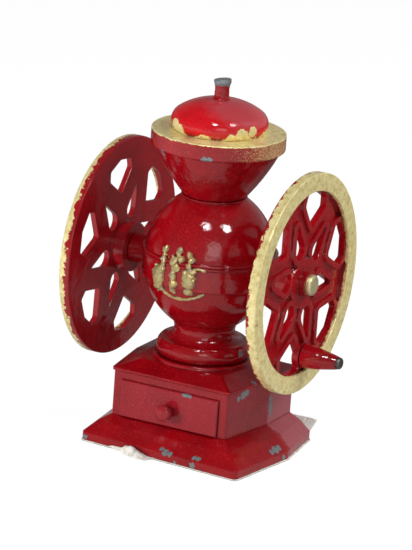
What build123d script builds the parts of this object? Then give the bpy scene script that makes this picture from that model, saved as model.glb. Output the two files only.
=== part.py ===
from build123d import *
import os
from math import asin, cos, degrees, radians, sin, sqrt

# Double-wheel counter coffee mill, millimetres, +Z up.
# Origin: middle of the pad's underside, below the body's vertical axis.
# +X runs along the axle to the flywheel that carries the handle; the drawer opens towards -Y.

# ---------------------------------------------------------------- clearances
run_fit = 0.05          # radial play of a journal in its bush, or of a rod in its bore
slip_fit = 0.03         # radial play between pieces that are fixed together
move_gap = 0.3          # free space beside a face that another body passes or rests over
drill_play = 0.2        # extra radius of a clearance hole

# ---------------------------------------------------------------- base
pad_thick = 1.2
plate_edge_height = 8.0
plate_slope_height = 18.4
plate_floor = 6.0       # casting left above the cored-out underside
box_front_half = 64.0   # half widths of the drawer box at its front, and at its waist and back
box_waist_half = 75.0
box_front_y = -65.0
box_waist_y = 4.0
box_back_y = 58.0
box_height = 46.4
box_wall = 5.0
box_corner = 3.0
plate_side_margin = 22.0
plate_front_margin = 19.0
plate_back_margin = 10.0
plate_fuller = 8.0      # the plate was cast fuller on its right, by this sideways and by this forwards
plate_forward = 13.0
plate_corner = 5.0
pad_inset = 1.5
# outlines of the card's torn tabs: x, then y from the plate's front or back edge
front_tab = [(-54, 10), (-52, 1), (-36, -6), (-20, -11), (-4, -12), (-10, 6)]
back_tab = [(66, -8), (68, 24), (88, 26), (92, 2), (90, -8)]

# ---------------------------------------------------------------- drawer
tray_half = 48.0
tray_depth = 106.0
tray_height = 32.0
sheet = 1.5
rail_foot = 7.0
rail_height = 16.0
rail_thick = 1.8
front_half = 54.5
front_height = 38.0
front_thick = 2.5
knob_radius = 8.5
knob_length = 14.5
crown_flat = 0.6        # small flat where a turned crown meets its axis
knob_height = 17.0      # of the knob's axis above the drawer box's floor

# ---------------------------------------------------------------- box cap
eaves_overhang = 1.5
eaves_thick = 3.0
roof_rise = 8.0
roof_inset = 19.0
cap_ring_radius = 50.0
cap_ring_height = 3.8
chute_radius = 20.0
chute_flare = 8.0

# ---------------------------------------------------------------- body castings
torus_radius = 47.0
torus_height = 17.0
neck_radius = 31.0      # waist between the torus and the ball
neck_length = 10.0
ball_radius = 66.0      # half axes of the ball's outer ellipse
ball_half_height = 73.5
ball_centre_above_axle = 5.0
ball_wall = 6.0
belt_proud = 0.6
belt_half_height = 13.0
bead_radius = 1.6
relief_angles = (-20.0, -4.5, 11.0)   # places of the three sprigs round the ball, from -Y towards +X
relief_low_rise = 3.2     # how far the relief's two steps stand out from the ball
relief_high_rise = 4.6
throat_radius = 32.0    # outside of the ball's top, where the hopper stands
throat_bore = 26.0
spigot_depth = 4.0      # how far the hopper reaches into the throat
lug_radius = 6.0
lug_length = 14.0
boss_radius = 15.0
boss_reach = 84.5
boss_inner_end = 46.0

# ---------------------------------------------------------------- hopper and lid
hopper_height = 62.0
hopper_top_radius = 63.0
hopper_bulge = 2.0
hopper_wall = 4.0
hopper_hole = 22.0
rim_radius = 66.8
rim_height = 16.2
rim_plate = 4.0
mouth_radius = 44.0
lid_foot_radius = 45.5
lid_radius = 48.0
lid_height = 31.0
lid_wall = 3.0
lid_lip = 5.0
finial_radius = 7.8
finial_height = 21.0
finial_cap_radius = 8.6
worn_slant = 7.0        # tilt of the finial's worn top, in degrees

# ---------------------------------------------------------------- axle line
axle_height = 182.0
shaft_radius = 8.0
bush_radius = 11.0
flange_radius = 12.8
flange_thick = 2.2
wheel_radius = 111.0
wheel_inner_radius = 93.0
wheel_face = 108.6      # outer face of each rim
rim_width = 10.6
web_thick = 2.8
rib_rise = 3.7
rib_width = 7.5
rib_draft = 1.3         # each rib face is this much narrower than its root, on every side
hub_barrel_radius = 25.0
hub_disc_radius = 26.0
hub_nose_radius = 13.0
hub_nose_end = 111.8
spoke_count = 6
right_phase = 18.0      # angle of the first outer window, from +Y towards +Z
left_phase = 40.0
petal_inner = 37.0      # centres of the petal opening's two end circles
petal_outer = 62.3
petal_round = 8.5
petal_tip = 1.2
window_inner = 60.0     # stations of the window's corner circles, outwards from its point
window_shoulder = 77.5
window_corner = 84.5
window_crown = 89.5
window_shoulder_half = 22.0
window_corner_half = 21.0
window_round = 3.0
key_size = 4.0
key_length = 18.0

# ---------------------------------------------------------------- crank handle
handle_angle = 280.0
handle_throw = 79.0
handle_length = 37.0
handle_root_radius = 12.8
handle_tip_radius = 6.6
handle_boss_radius = 13.6
spindle_radius = 3.0
spindle_head_radius = 6.0
spindle_head = 4.2
blank_boss_angle = 250.0
blank_boss_throw = 80.0
blank_boss_radius = 7.0
blank_boss_height = 2.5

# ---------------------------------------------------------------- grinding gear
case_bore = 25.0
case_wall = 4.0
case_flange_radius = 39.0
case_flange = 6.0
worm_core = 12.0
worm_radius = 24.0
worm_pitch = 20.0
worm_turns = 2.5
worm_flight = 3.5
burr_radius = 38.0
burr_eye = 17.0
fixed_burr_thick = 6.0
moving_burr_thick = 8.0
burr_hub_radius = 15.0
burr_hub_length = 11.0
burr_gap = 1.0
burr_teeth = 18
tooth_depth = 1.4
tooth_width = 3.0
tooth_sweep = 22.0
cross_pin_radius = 2.2
rod_radius = 3.2
rod_bore = 4.2
burr_travel = 0.6
spring_wire = 0.8
spring_coils = 6
adjuster_head_radius = 10.5
adjuster_head = 5.2
hub_nut_radius = 12.5
hub_nut_thick = 6.0

# ---------------------------------------------------------------- screws
tie_radius = 2.5
small_screw = 2.0
head_ratio = 1.8        # screw head radius over shank radius
head_thick = 2.6

# ---------------------------------------------------------------- derived levels and stations
plate_bottom = pad_thick
floor_level = plate_bottom + plate_edge_height + plate_slope_height
box_top = floor_level + box_height
ring_bottom = box_top + eaves_thick + roof_rise - 0.5
casing_bottom = ring_bottom + cap_ring_height
neck_level = casing_bottom + torus_height + neck_length
ball_centre = axle_height + ball_centre_above_axle
casing_joint = axle_height + belt_half_height
belt_reach = ball_radius + belt_proud
bead_top = casing_joint + 2 * bead_radius
throat_level = ball_centre + ball_half_height * sqrt(1 - (throat_radius / ball_radius) ** 2) + 2.0
rim_bottom = throat_level + hopper_height - rim_height + rim_plate
rim_top = rim_bottom + rim_height
lid_bottom = rim_top + move_gap
web_back = wheel_face - rim_width
wheel_hub_face = boss_reach + 2 * move_gap
rib_face = web_back + web_thick + rib_rise
tray_bottom = floor_level + rail_thick + move_gap
front_back = box_front_y - move_gap
knob_level = floor_level + knob_height
case_end = 12.0         # right-hand end of the feed tube, where its flange starts
fixed_burr_face = case_end + case_flange + fixed_burr_thick
moving_burr_face = fixed_burr_face + burr_gap
cross_pin_x = moving_burr_face + moving_burr_thick + 0.45 * burr_hub_length
bore_end = cross_pin_x - 26.0
worm_start = -(boss_inner_end - 1.5)
worm_pin_x = worm_start + 2.0 * cross_pin_radius
shaft_right = hub_nose_end
shaft_left = -(hub_nose_end + hub_nut_thick + 1.0)

axle_plane = Plane(origin=(0, 0, axle_height), x_dir=(0, 1, 0), z_dir=(1, 0, 0))
handle_y = handle_throw * cos(radians(handle_angle))
handle_z = axle_height + handle_throw * sin(radians(handle_angle))
handle_plane = Plane(origin=(0, handle_y, handle_z), x_dir=(0, 1, 0), z_dir=(1, 0, 0))

# screw positions
tie_points = [(side * (box_front_half - box_wall - 2.0), box_front_y + box_wall + 6.0) for side in (-1, 1)]
tie_points += [(side * (box_waist_half - box_wall - 5.0), box_back_y - box_wall - 5.0) for side in (-1, 1)]
lug_circle = ball_radius - ball_wall - lug_radius + 0.4
lug_angles = (30.0, 120.0, 240.0, 330.0)
lug_points = [(lug_circle * cos(radians(angle)), lug_circle * sin(radians(angle))) for angle in lug_angles]
rail_screw_y = (box_front_y + 20.0, box_back_y - 25.0)


def write(part, name):
    """Label a finished piece with its node name and write it as one STEP file."""
    part.label = name
    export_step(part, f"parts/{name}.step")


def plan(right_side, left_side, corner):
    """Six-cornered plan shared by pad, plate, box and cap: each side is front, waist and back as (reach, y)."""
    points = [(reach, y) for reach, y in right_side]
    points += [(-reach, y) for reach, y in reversed(left_side)]
    with BuildSketch() as outline:
        with BuildLine():
            Polyline(*points, close=True)
        make_face()
        fillet(outline.vertices(), corner)
    return outline.sketch


def box_plan(grow=0.0, corner=box_corner):
    """Plan of the drawer box, grown outwards or, if negative, inwards."""
    front = (box_front_half + grow, box_front_y - grow)
    waist = (box_waist_half + grow, box_waist_y)
    back = (box_waist_half + grow, box_back_y + grow)
    return plan((front, waist, back), (front, waist, back), corner)


def plate_plan(share=1.0, inset=0.0):
    """Plan of the base plate: share 1 is its outer edge, share 0 the foot of the drawer box."""
    sides = []
    for fuller, forward in ((plate_fuller, plate_forward), (0.0, 0.0)):
        margin = (plate_side_margin + fuller) * share - inset
        front_y = box_front_y - (plate_front_margin + forward) * share + inset
        waist_y = box_waist_y + (4.0 - forward) * share
        back_y = box_back_y + plate_back_margin * share - inset
        back_half = box_waist_half + plate_side_margin * share - inset - 3.0 * share
        sides.append([(box_front_half + margin, front_y), (box_waist_half + margin, waist_y), (back_half, back_y)])
    return plan(*sides, box_corner + (plate_corner - box_corner) * share)


def ball_outline(grow, low, high):
    """Arc of the ball's ellipse between two levels, drawn on the XZ plane."""
    wide = ball_radius + grow
    tall = ball_half_height + grow
    start, end = (degrees(asin((level - ball_centre) / tall)) for level in (low, high))
    return EllipticalCenterArc((0, ball_centre), wide, tall, start_angle=start, arc_size=end - start)


def ball_reach(grow, level):
    """Radius of the grown ball at one level."""
    rise = (level - ball_centre) / (ball_half_height + grow)
    return (ball_radius + grow) * sqrt(1 - rise * rise)


def hull_of(circles, grow=0.0):
    """Convex outline drawn tight round circles given as (x, y, radius)."""
    with BuildSketch() as outline:
        for x, y, radius in circles:
            with Locations((x, y)):
                Circle(radius + grow)
        make_hull()
    return outline.sketch


def screw(plane, shank, length, head_radius, head_depth):
    """Round-headed screw: its head stands on the plane's back, its shank runs along the normal."""
    with BuildPart() as fastener:
        with BuildSketch(plane):
            Circle(shank)
        extrude(amount=length)
        with BuildSketch(plane):
            Circle(head_radius)
        extrude(amount=-head_depth)
        chamfer(fastener.faces().sort_by(Axis(plane.origin, plane.z_dir))[0].edges(), head_depth / 4)
    return fastener.part


# ================================================================ base
# Thin card pad under the casting, torn at the front and at the back right-hand corner
def torn_tab(edge_y, outline):
    """A torn tongue of card whose points are given as (x, distance outside the plate's edge)."""
    with BuildSketch() as tab:
        with BuildLine():
            Polyline(*[(x, edge_y + out) for x, out in outline], close=True)
        make_face()
    return tab.sketch


with BuildPart() as base_pad:
    with BuildSketch():
        add(plate_plan(inset=pad_inset))
        add(torn_tab(box_front_y - plate_front_margin - plate_forward / 3, front_tab))
        add(torn_tab(box_back_y + plate_back_margin, back_tab))
    extrude(amount=pad_thick)
write(base_pad.part, "base_pad")

# Bevelled foot plate, cored out below the drawer floor
with BuildPart() as base_plate:
    with BuildSketch(Plane.XY.offset(plate_bottom)):
        add(plate_plan())
    extrude(amount=plate_edge_height)
    slope_bottom = plate_bottom + plate_edge_height
    with BuildSketch(Plane.XY.offset(slope_bottom)):
        add(plate_plan())
    with BuildSketch(Plane.XY.offset(slope_bottom + 0.62 * plate_slope_height)):
        add(plate_plan(share=0.5))
    with BuildSketch(Plane.XY.offset(floor_level)):
        add(plate_plan(share=0.0))
    loft(ruled=True)
    with BuildSketch(Plane.XY.offset(plate_bottom)):
        add(box_plan(grow=-box_wall))
    extrude(amount=floor_level - plate_floor - plate_bottom, mode=Mode.SUBTRACT)
    with BuildSketch(Plane.XY.offset(plate_bottom)):
        with Locations(*tie_points):
            Circle(tie_radius + drill_play)
    extrude(amount=floor_level, mode=Mode.SUBTRACT)
    with BuildSketch(Plane.XY.offset(plate_bottom)):
        with Locations(*tie_points):
            Circle(head_ratio * tie_radius + drill_play)
    extrude(amount=floor_level - plate_floor - plate_bottom, mode=Mode.SUBTRACT)
    for side in (-1, 1):
        for y in rail_screw_y:
            with BuildSketch(Plane.XY.offset(floor_level - plate_floor)):
                with Locations((side * (tray_half - rail_foot / 2), y)):
                    Circle(small_screw + slip_fit)
            extrude(amount=plate_floor, mode=Mode.SUBTRACT)
write(base_plate.part, "base_plate")

# Four walls of the drawer box with a corner lug for each tie bolt
with BuildPart() as drawer_housing:
    with BuildSketch(Plane.XY.offset(floor_level)):
        add(box_plan())
        add(box_plan(grow=-box_wall), mode=Mode.SUBTRACT)
        with Locations(*tie_points):
            Circle(lug_radius)
        add(box_plan(), mode=Mode.INTERSECT)
        with Locations(*tie_points):
            Circle(tie_radius + drill_play, mode=Mode.SUBTRACT)
    extrude(amount=box_height)
    mouth_height = tray_height + rail_thick + 2 * move_gap
    with BuildSketch(Plane.XY.offset(floor_level)):
        with Locations((0, box_front_y)):
            Rectangle(2 * (tray_half + sheet + move_gap + 0.7), 4 * box_wall)
    extrude(amount=mouth_height, mode=Mode.SUBTRACT)
write(drawer_housing.part, "drawer_housing")

# Hipped cap of the box with the round seat of the body and the chute for ground coffee
with BuildPart() as box_cap:
    with BuildSketch(Plane.XY.offset(box_top)):
        add(box_plan(grow=eaves_overhang))
    extrude(amount=eaves_thick)
    with BuildSketch(Plane.XY.offset(box_top + eaves_thick)):
        add(box_plan(grow=eaves_overhang - 1.0))
    with BuildSketch(Plane.XY.offset(box_top + eaves_thick + roof_rise)):
        hip = box_plan(grow=-roof_inset)
        add(hip)
    loft(ruled=True)
    with BuildSketch(Plane.XY.offset(ring_bottom)):
        Circle(cap_ring_radius)
    extrude(amount=cap_ring_height)
    fillet(box_cap.faces().sort_by(Axis.Z)[-1].edges(), 1.5)
    with BuildSketch(Plane.XY.offset(box_top)):
        Circle(chute_radius + chute_flare)
    with BuildSketch(Plane.XY.offset(casing_bottom)):
        Circle(chute_radius)
    loft(mode=Mode.SUBTRACT)
    tie_end = 3.0
    with BuildSketch(Plane.XY.offset(box_top)):
        with Locations(*tie_points):
            Circle(tie_radius + slip_fit)
    extrude(amount=tie_end + 0.5, mode=Mode.SUBTRACT)
write(box_cap.part, "box_cap")

# Four bolts from below tie plate, walls and cap together
with BuildPart() as tie_bolts:
    for x, y in tie_points:
        seat = Plane(origin=(x, y, floor_level - plate_floor), x_dir=(1, 0, 0), z_dir=(0, 0, 1))
        add(screw(seat, tie_radius, plate_floor + box_height + tie_end, head_ratio * tie_radius, head_thick))
write(tie_bolts.part, "tie_bolts")


# Angle rails that carry the tray; the one on the right is drawn and the other is its mirror image
def drawer_rail():
    """Right-hand rail: a flat foot under the tray's edge and an upright leg beside it."""
    inner = tray_half - rail_foot
    leg = tray_half + move_gap
    with BuildPart() as rail:
        with BuildSketch(Plane.XZ.offset(-(box_front_y + box_wall + 1.0))):
            with BuildLine():
                Polyline((inner, floor_level), (leg + sheet, floor_level),
                         (leg + sheet, floor_level + rail_height),
                         (leg, floor_level + rail_height), (leg, floor_level + rail_thick),
                         (inner, floor_level + rail_thick), close=True)
            make_face()
        extrude(amount=-(tray_depth - 8.0))
        with Locations(*[(tray_half - rail_foot / 2, y, floor_level + rail_thick) for y in rail_screw_y]):
            CounterSinkHole(small_screw + drill_play, 1.4 * small_screw, depth=2 * rail_thick)
    return rail.part


with BuildPart() as drawer_rail_right:
    add(drawer_rail())
write(drawer_rail_right.part, "drawer_rail_right")

with BuildPart() as drawer_rail_left:
    add(drawer_rail())
    mirror(about=Plane.YZ, mode=Mode.REPLACE)
write(drawer_rail_left.part, "drawer_rail_left")

with BuildPart() as rail_screws:
    for side in (-1, 1):
        for y in rail_screw_y:
            with Locations((side * (tray_half - rail_foot / 2), y, floor_level + rail_thick)):
                Cylinder(small_screw, rail_thick + plate_floor - 0.5,
                         align=(Align.CENTER, Align.CENTER, Align.MAX))
                Cone(small_screw, 1.35 * small_screw, 0.7, align=(Align.CENTER, Align.CENTER, Align.MAX))
write(rail_screws.part, "rail_screws")

# Folded tin tray
tray_front = front_back + box_wall / 2
with BuildPart() as drawer_tray:
    with BuildSketch(Plane.XY.offset(tray_bottom)):
        with Locations((0, tray_front)):
            Rectangle(2 * tray_half, tray_depth, align=(Align.CENTER, Align.MIN))
    extrude(amount=tray_height - move_gap)
    fillet(drawer_tray.edges().filter_by(Axis.Z), 2 * sheet)
    offset(amount=-sheet, openings=drawer_tray.faces().sort_by(Axis.Z)[-1])
    with BuildSketch(Plane.XZ.offset(-tray_front)):
        with Locations((0, knob_level)):
            Circle(small_screw + drill_play)
    extrude(amount=-2 * sheet, mode=Mode.SUBTRACT)
write(drawer_tray.part, "drawer_tray")

# Drawer front: a raised panel with a spigot that fits the box's mouth
with BuildPart() as drawer_front:
    panel_bottom = floor_level + 2 * move_gap
    with BuildSketch(Plane.XZ.offset(-front_back)):
        with Locations((0, panel_bottom)):
            Rectangle(2 * front_half, front_height, align=(Align.CENTER, Align.MIN))
    extrude(amount=front_thick)
    chamfer(drawer_front.faces().sort_by(Axis.Y)[0].edges(), 0.9)
    with BuildSketch(Plane.XZ.offset(-front_back)):
        with Locations((0, tray_bottom)):
            Rectangle(2 * tray_half, tray_height - move_gap, align=(Align.CENTER, Align.MIN))
    extrude(amount=-(tray_front - front_back))
    with BuildSketch(Plane.XZ.offset(-tray_front)):
        with Locations((0, knob_level)):
            Circle(small_screw + drill_play)
    extrude(amount=3 * box_wall, mode=Mode.SUBTRACT)
write(drawer_front.part, "drawer_front")

# Turned drawer knob
knob_seat = front_back - front_thick
knob_axis = Axis((0, 0, knob_level), (0, 1, 0))
with BuildPart() as drawer_knob:
    with BuildSketch(Plane.XY.offset(knob_level)):
        with BuildLine():
            foot = Line((0, knob_seat), (0.62 * knob_radius, knob_seat))
            neck = Line(foot @ 1, (0.55 * knob_radius, knob_seat - 0.3 * knob_length))
            cheek = ThreePointArc(neck @ 1, (knob_radius, knob_seat - 0.62 * knob_length),
                                  (0.55 * knob_radius, knob_seat - 0.94 * knob_length))
            crown = ThreePointArc(cheek @ 1, (0.3 * knob_radius, knob_seat - 0.985 * knob_length),
                                  (crown_flat, knob_seat - knob_length))
            Polyline(crown @ 1, (0, knob_seat - knob_length), foot @ 0)
        make_face()
    revolve(axis=knob_axis)
    with BuildSketch(Plane.XZ.offset(-knob_seat)):
        with Locations((0, knob_level)):
            Circle(small_screw + slip_fit)
    extrude(amount=0.6 * knob_length, mode=Mode.SUBTRACT)
write(drawer_knob.part, "drawer_knob")

knob_screw_seat = tray_front + sheet
with BuildPart() as drawer_knob_screw:
    start = Plane(origin=(0, knob_screw_seat, knob_level), x_dir=(1, 0, 0), z_dir=(0, -1, 0))
    add(screw(start, small_screw, knob_screw_seat - knob_seat + 0.5 * knob_length,
              head_ratio * small_screw, head_thick))
write(drawer_knob_screw.part, "drawer_knob_screw")

# ================================================================ body castings

# Foot torus, neck and lower half of the ball, with the axle bosses
with BuildPart() as lower_casing:
    belt_low = axle_height - belt_half_height
    neck_top = ball_centre - ball_half_height * sqrt(1 - (neck_radius * 1.16 / ball_radius) ** 2)
    with BuildSketch(Plane.XZ):
        with BuildLine():
            foot = Line((chute_radius, casing_bottom), (torus_radius - 3.0, casing_bottom))
            torus = ThreePointArc(foot @ 1, (torus_radius, casing_bottom + torus_height / 2),
                                  (torus_radius - 4.0, casing_bottom + torus_height))
            neck = ThreePointArc(torus @ 1, (neck_radius + 1.5, neck_level - 0.55 * neck_length),
                                 (ball_reach(0, neck_top), neck_top))
            ball = ball_outline(0, neck_top, belt_low)
            step = Line(ball @ 1, (belt_reach, belt_low + 1.0))
            belt = Line(step @ 1, (belt_reach, casing_joint - 2 * bead_radius))
            bead = ThreePointArc(belt @ 1, (belt_reach + 0.8 * bead_radius, casing_joint - bead_radius),
                                 (belt_reach, casing_joint))
            Line(bead @ 1, (ball_reach(-ball_wall, casing_joint), casing_joint))
            inner_low = ball_centre - ball_half_height + 2 * ball_wall
            inside = ball_outline(-ball_wall, inner_low, casing_joint)
            Line(inside @ 0, (chute_radius, neck_level - neck_length / 2))
            Line((chute_radius, neck_level - neck_length / 2), foot @ 0)
        make_face()
    revolve(axis=Axis.Z)
    for side in (-1, 1):
        with BuildSketch(axle_plane.offset(side * boss_inner_end)):
            Circle(boss_radius)
        extrude(amount=side * (boss_reach - boss_inner_end))
    with BuildSketch(Plane.XY.offset(casing_joint - lug_length)):
        with Locations(*lug_points):
            Circle(lug_radius)
    extrude(amount=lug_length)
    with BuildSketch(Plane.XY.offset(casing_joint)):
        Circle(belt_reach + 2 * bead_radius)
        Circle(ball_reach(-ball_wall, casing_joint) - 1.0, mode=Mode.SUBTRACT)
    extrude(amount=boss_radius, mode=Mode.SUBTRACT)
    with BuildSketch(axle_plane.offset(-boss_reach)):
        Circle(bush_radius + slip_fit)
    extrude(amount=2 * boss_reach, mode=Mode.SUBTRACT)
    for side in (-1, 1):
        with BuildSketch(axle_plane.offset(side * (boss_reach - flange_thick + 0.2))):
            Circle(flange_radius + slip_fit)
        extrude(amount=side * flange_thick, mode=Mode.SUBTRACT)
    with BuildSketch(Plane.XY.offset(casing_joint - lug_length + 2.0)):
        with Locations(*lug_points):
            Circle(small_screw + slip_fit)
    extrude(amount=lug_length, mode=Mode.SUBTRACT)
write(lower_casing.part, "lower_casing")

# Upper half of the ball up to the throat
upper_lug = 6.0
with BuildPart() as upper_casing:
    with BuildSketch(Plane.XZ):
        with BuildLine():
            seat = Line((ball_reach(-ball_wall, casing_joint), casing_joint), (belt_reach, casing_joint))
            bead = ThreePointArc(seat @ 1, (belt_reach + 0.8 * bead_radius, casing_joint + bead_radius),
                                 (ball_reach(0, bead_top), bead_top))
            dome_top = throat_level - 2.0
            dome = ball_outline(0, bead_top, dome_top)
            lip = ThreePointArc(dome @ 1, (throat_radius + 1.2, throat_level - 0.8),
                                (throat_radius, throat_level))
            rim = Line(lip @ 1, (throat_bore, throat_level))
            inner_top = ball_centre + (ball_half_height - ball_wall) * sqrt(
                1 - (throat_bore / (ball_radius - ball_wall)) ** 2)
            wall = Line(rim @ 1, (throat_bore, inner_top))
            ball_outline(-ball_wall, casing_joint, inner_top)
        make_face()
    revolve(axis=Axis.Z)
    with BuildSketch(Plane.XY.offset(casing_joint)):
        with Locations(*lug_points):
            Circle(lug_radius)
    extrude(amount=upper_lug)
    with BuildSketch(Plane.XY.offset(casing_joint)):
        with Locations(*lug_points):
            Circle(small_screw + drill_play)
    extrude(amount=upper_lug, mode=Mode.SUBTRACT)
write(upper_casing.part, "upper_casing")

with BuildPart() as casing_screws:
    for x, y in lug_points:
        seat = Plane(origin=(x, y, casing_joint + upper_lug), x_dir=(1, 0, 0), z_dir=(0, 0, -1))
        add(screw(seat, small_screw, upper_lug + lug_length - 3.0, head_ratio * small_screw, head_thick))
write(casing_screws.part, "casing_screws")

# ================================================================ hopper and lid
hopper_top = rim_top - rim_plate
with BuildPart() as hopper:
    with BuildSketch(Plane.XZ):
        with BuildLine():
            spigot = Polyline((hopper_hole, throat_level - spigot_depth),
                              (throat_bore - slip_fit, throat_level - spigot_depth),
                              (throat_bore - slip_fit, throat_level), (throat_radius - 0.8, throat_level))
            middle_radius = (throat_radius + hopper_top_radius) / 2 + hopper_bulge
            middle_level = (throat_level + rim_bottom) / 2
            cone = ThreePointArc(spigot @ 1, (middle_radius, middle_level), (hopper_top_radius, rim_bottom))
            top = Polyline(cone @ 1, (hopper_top_radius, hopper_top),
                           (hopper_top_radius - hopper_wall, hopper_top),
                           (hopper_top_radius - hopper_wall, rim_bottom))
            bowl = ThreePointArc(top @ 1, (middle_radius - hopper_wall, middle_level),
                                 (hopper_hole, throat_level + 3.0))
            Line(bowl @ 1, spigot @ 0)
        make_face()
    revolve(axis=Axis.Z)
write(hopper.part, "hopper")

# Heavy ring over the hopper's edge; its flat top carries the lid
with BuildPart() as hopper_rim:
    with BuildSketch(Plane.XZ):
        with BuildLine():
            inner = hopper_top_radius + slip_fit
            Polyline((inner, rim_bottom), (rim_radius, rim_bottom), (rim_radius, rim_top),
                     (mouth_radius, rim_top),
                     (mouth_radius, hopper_top), (inner, hopper_top), close=True)
        make_face()
    revolve(axis=Axis.Z)
    circles = hopper_rim.edges().filter_by(GeomType.CIRCLE)
    outer_edges = circles.filter_by(lambda edge: abs(edge.radius - rim_radius) < 0.1)
    fillet(outer_edges, 1.4)
write(hopper_rim.part, "hopper_rim")

# Bun-shaped lid, hollow below, with a lip that drops into the mouth
with BuildPart() as lid:
    with BuildSketch(Plane.XZ):
        with BuildLine():
            stud_hole = finial_radius / 2 + drill_play
            lip_radius = mouth_radius - move_gap
            side = ThreePointArc((lid_foot_radius, lid_bottom), (lid_radius, lid_bottom + 0.33 * lid_height),
                                 (0.9 * lid_radius, lid_bottom + 0.6 * lid_height))
            crown = ThreePointArc(side @ 1, (0.56 * lid_radius, lid_bottom + 0.88 * lid_height),
                                  (finial_radius + 1.0, lid_bottom + lid_height))
            Line(crown @ 1, (stud_hole, lid_bottom + lid_height))
            Line((stud_hole, lid_bottom + lid_height), (stud_hole, lid_bottom + lid_height - lid_wall))
            Line((stud_hole, lid_bottom + lid_height - lid_wall),
                 (finial_radius + 1.0, lid_bottom + lid_height - lid_wall))
            inner_crown = ThreePointArc((finial_radius + 1.0, lid_bottom + lid_height - lid_wall),
                                        (0.56 * lid_radius - 1.5, lid_bottom + 0.88 * lid_height - lid_wall),
                                        (0.9 * lid_radius - lid_wall, lid_bottom + 0.6 * lid_height))
            Polyline(inner_crown @ 1, (lip_radius - lid_wall, lid_bottom + 0.2 * lid_height),
                     (lip_radius - lid_wall, lid_bottom - lid_lip), (lip_radius, lid_bottom - lid_lip),
                     (lip_radius, lid_bottom), side @ 0)
        make_face()
    revolve(axis=Axis.Z)
write(lid.part, "lid")

# Cast stub handle of the lid with its stud, and the nut under the lid
lid_top = lid_bottom + lid_height
stud_radius = finial_radius / 2
with BuildPart() as lid_knob:
    with BuildSketch(Plane.XZ):
        with BuildLine():
            base = Polyline((0, lid_top - lid_wall - 6.0), (stud_radius, lid_top - lid_wall - 6.0),
                            (stud_radius, lid_top), (finial_radius + 1.2, lid_top))
            foot = ThreePointArc(base @ 1, (finial_radius - 0.2, lid_top + 0.12 * finial_height),
                                 (finial_radius - 0.5, lid_top + 0.3 * finial_height))
            waist = ThreePointArc(foot @ 1, (finial_radius - 0.6, lid_top + 0.55 * finial_height),
                                  (finial_cap_radius, lid_top + 0.8 * finial_height))
            Polyline(waist @ 1, (finial_cap_radius, lid_top + finial_height + 2.0),
                     (0, lid_top + finial_height + 2.0), base @ 0)
        make_face()
    revolve(axis=Axis.Z)
    worn_top = Plane(origin=(0, 0, lid_top + finial_height - 1.0), z_dir=(-sin(radians(worn_slant)), 0, 1))
    split(bisect_by=worn_top, keep=Keep.BOTTOM)
    fillet(lid_knob.faces().sort_by(Axis.Z)[-1].edges(), 1.0)
write(lid_knob.part, "lid_knob")

with BuildPart() as lid_nut:
    with BuildSketch(Plane.XY.offset(lid_top - lid_wall)):
        RegularPolygon(1.8 * stud_radius, 6)
        Circle(stud_radius + slip_fit, mode=Mode.SUBTRACT)
    extrude(amount=-4.0)
write(lid_nut.part, "lid_nut")

# ================================================================ axle, bushes and wheels
with BuildPart() as bush_right:
    with BuildSketch(axle_plane.offset(boss_inner_end)):
        Circle(bush_radius)
    extrude(amount=boss_reach - flange_thick + 0.2 - boss_inner_end)
    with BuildSketch(axle_plane.offset(boss_reach - flange_thick + 0.2)):
        Circle(flange_radius)
    extrude(amount=flange_thick)
    with BuildSketch(axle_plane.offset(boss_inner_end)):
        Circle(shaft_radius + run_fit)
    extrude(amount=boss_reach, mode=Mode.SUBTRACT)
write(bush_right.part, "bush_right")

with BuildPart() as bush_left:
    add(bush_right.part)
    mirror(about=Plane.YZ, mode=Mode.REPLACE)
write(bush_left.part, "bush_left")

key_start = wheel_hub_face + 3.0
slot_half = burr_travel + 1.0 + cross_pin_radius
with BuildPart() as axle_shaft:
    with BuildSketch(axle_plane.offset(-hub_nose_end)):
        Circle(shaft_radius)
    extrude(amount=shaft_right + hub_nose_end)
    with BuildSketch(axle_plane.offset(shaft_left)):
        Circle(0.75 * shaft_radius)
    extrude(amount=-shaft_left - hub_nose_end)
    with BuildSketch(axle_plane.offset(bore_end)):
        Circle(rod_bore)
    extrude(amount=shaft_right - bore_end, mode=Mode.SUBTRACT)
    with BuildSketch(Plane.XZ):
        with Locations((cross_pin_x, axle_height)):
            Rectangle(2 * slot_half, 2 * (cross_pin_radius + 2 * run_fit))
    extrude(amount=shaft_radius, both=True, mode=Mode.SUBTRACT)
    for side in (-1, 1):
        with BuildSketch(Plane.XZ):
            with Locations((side * (key_start + key_length / 2), axle_height + shaft_radius)):
                Rectangle(key_length, key_size)
        extrude(amount=key_size / 2 + slip_fit, both=True, mode=Mode.SUBTRACT)
    with BuildSketch(Plane.XZ):
        with Locations((worm_pin_x, axle_height)):
            Circle(cross_pin_radius + slip_fit)
    extrude(amount=shaft_radius, both=True, mode=Mode.SUBTRACT)
write(axle_shaft.part, "axle_shaft")

with BuildPart() as wheel_keys:
    for side in (-1, 1):
        with BuildSketch(Plane.XZ):
            with Locations((side * (key_start + key_length / 2), axle_height + shaft_radius)):
                Rectangle(key_length - 2 * slip_fit, key_size - 2 * slip_fit)
        extrude(amount=key_size / 2, both=True)
write(wheel_keys.part, "wheel_keys")

petal = [(petal_inner, 0, petal_round), (petal_outer, 0, petal_tip)]
window = [(window_inner, 0, window_round), (window_crown, 0, window_round)]
for side in (-1, 1):
    window.append((window_shoulder, side * (window_shoulder_half - window_round), window_round))
    window.append((window_corner, side * (window_corner_half - window_round), window_round))
step = 360 / spoke_count


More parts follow.
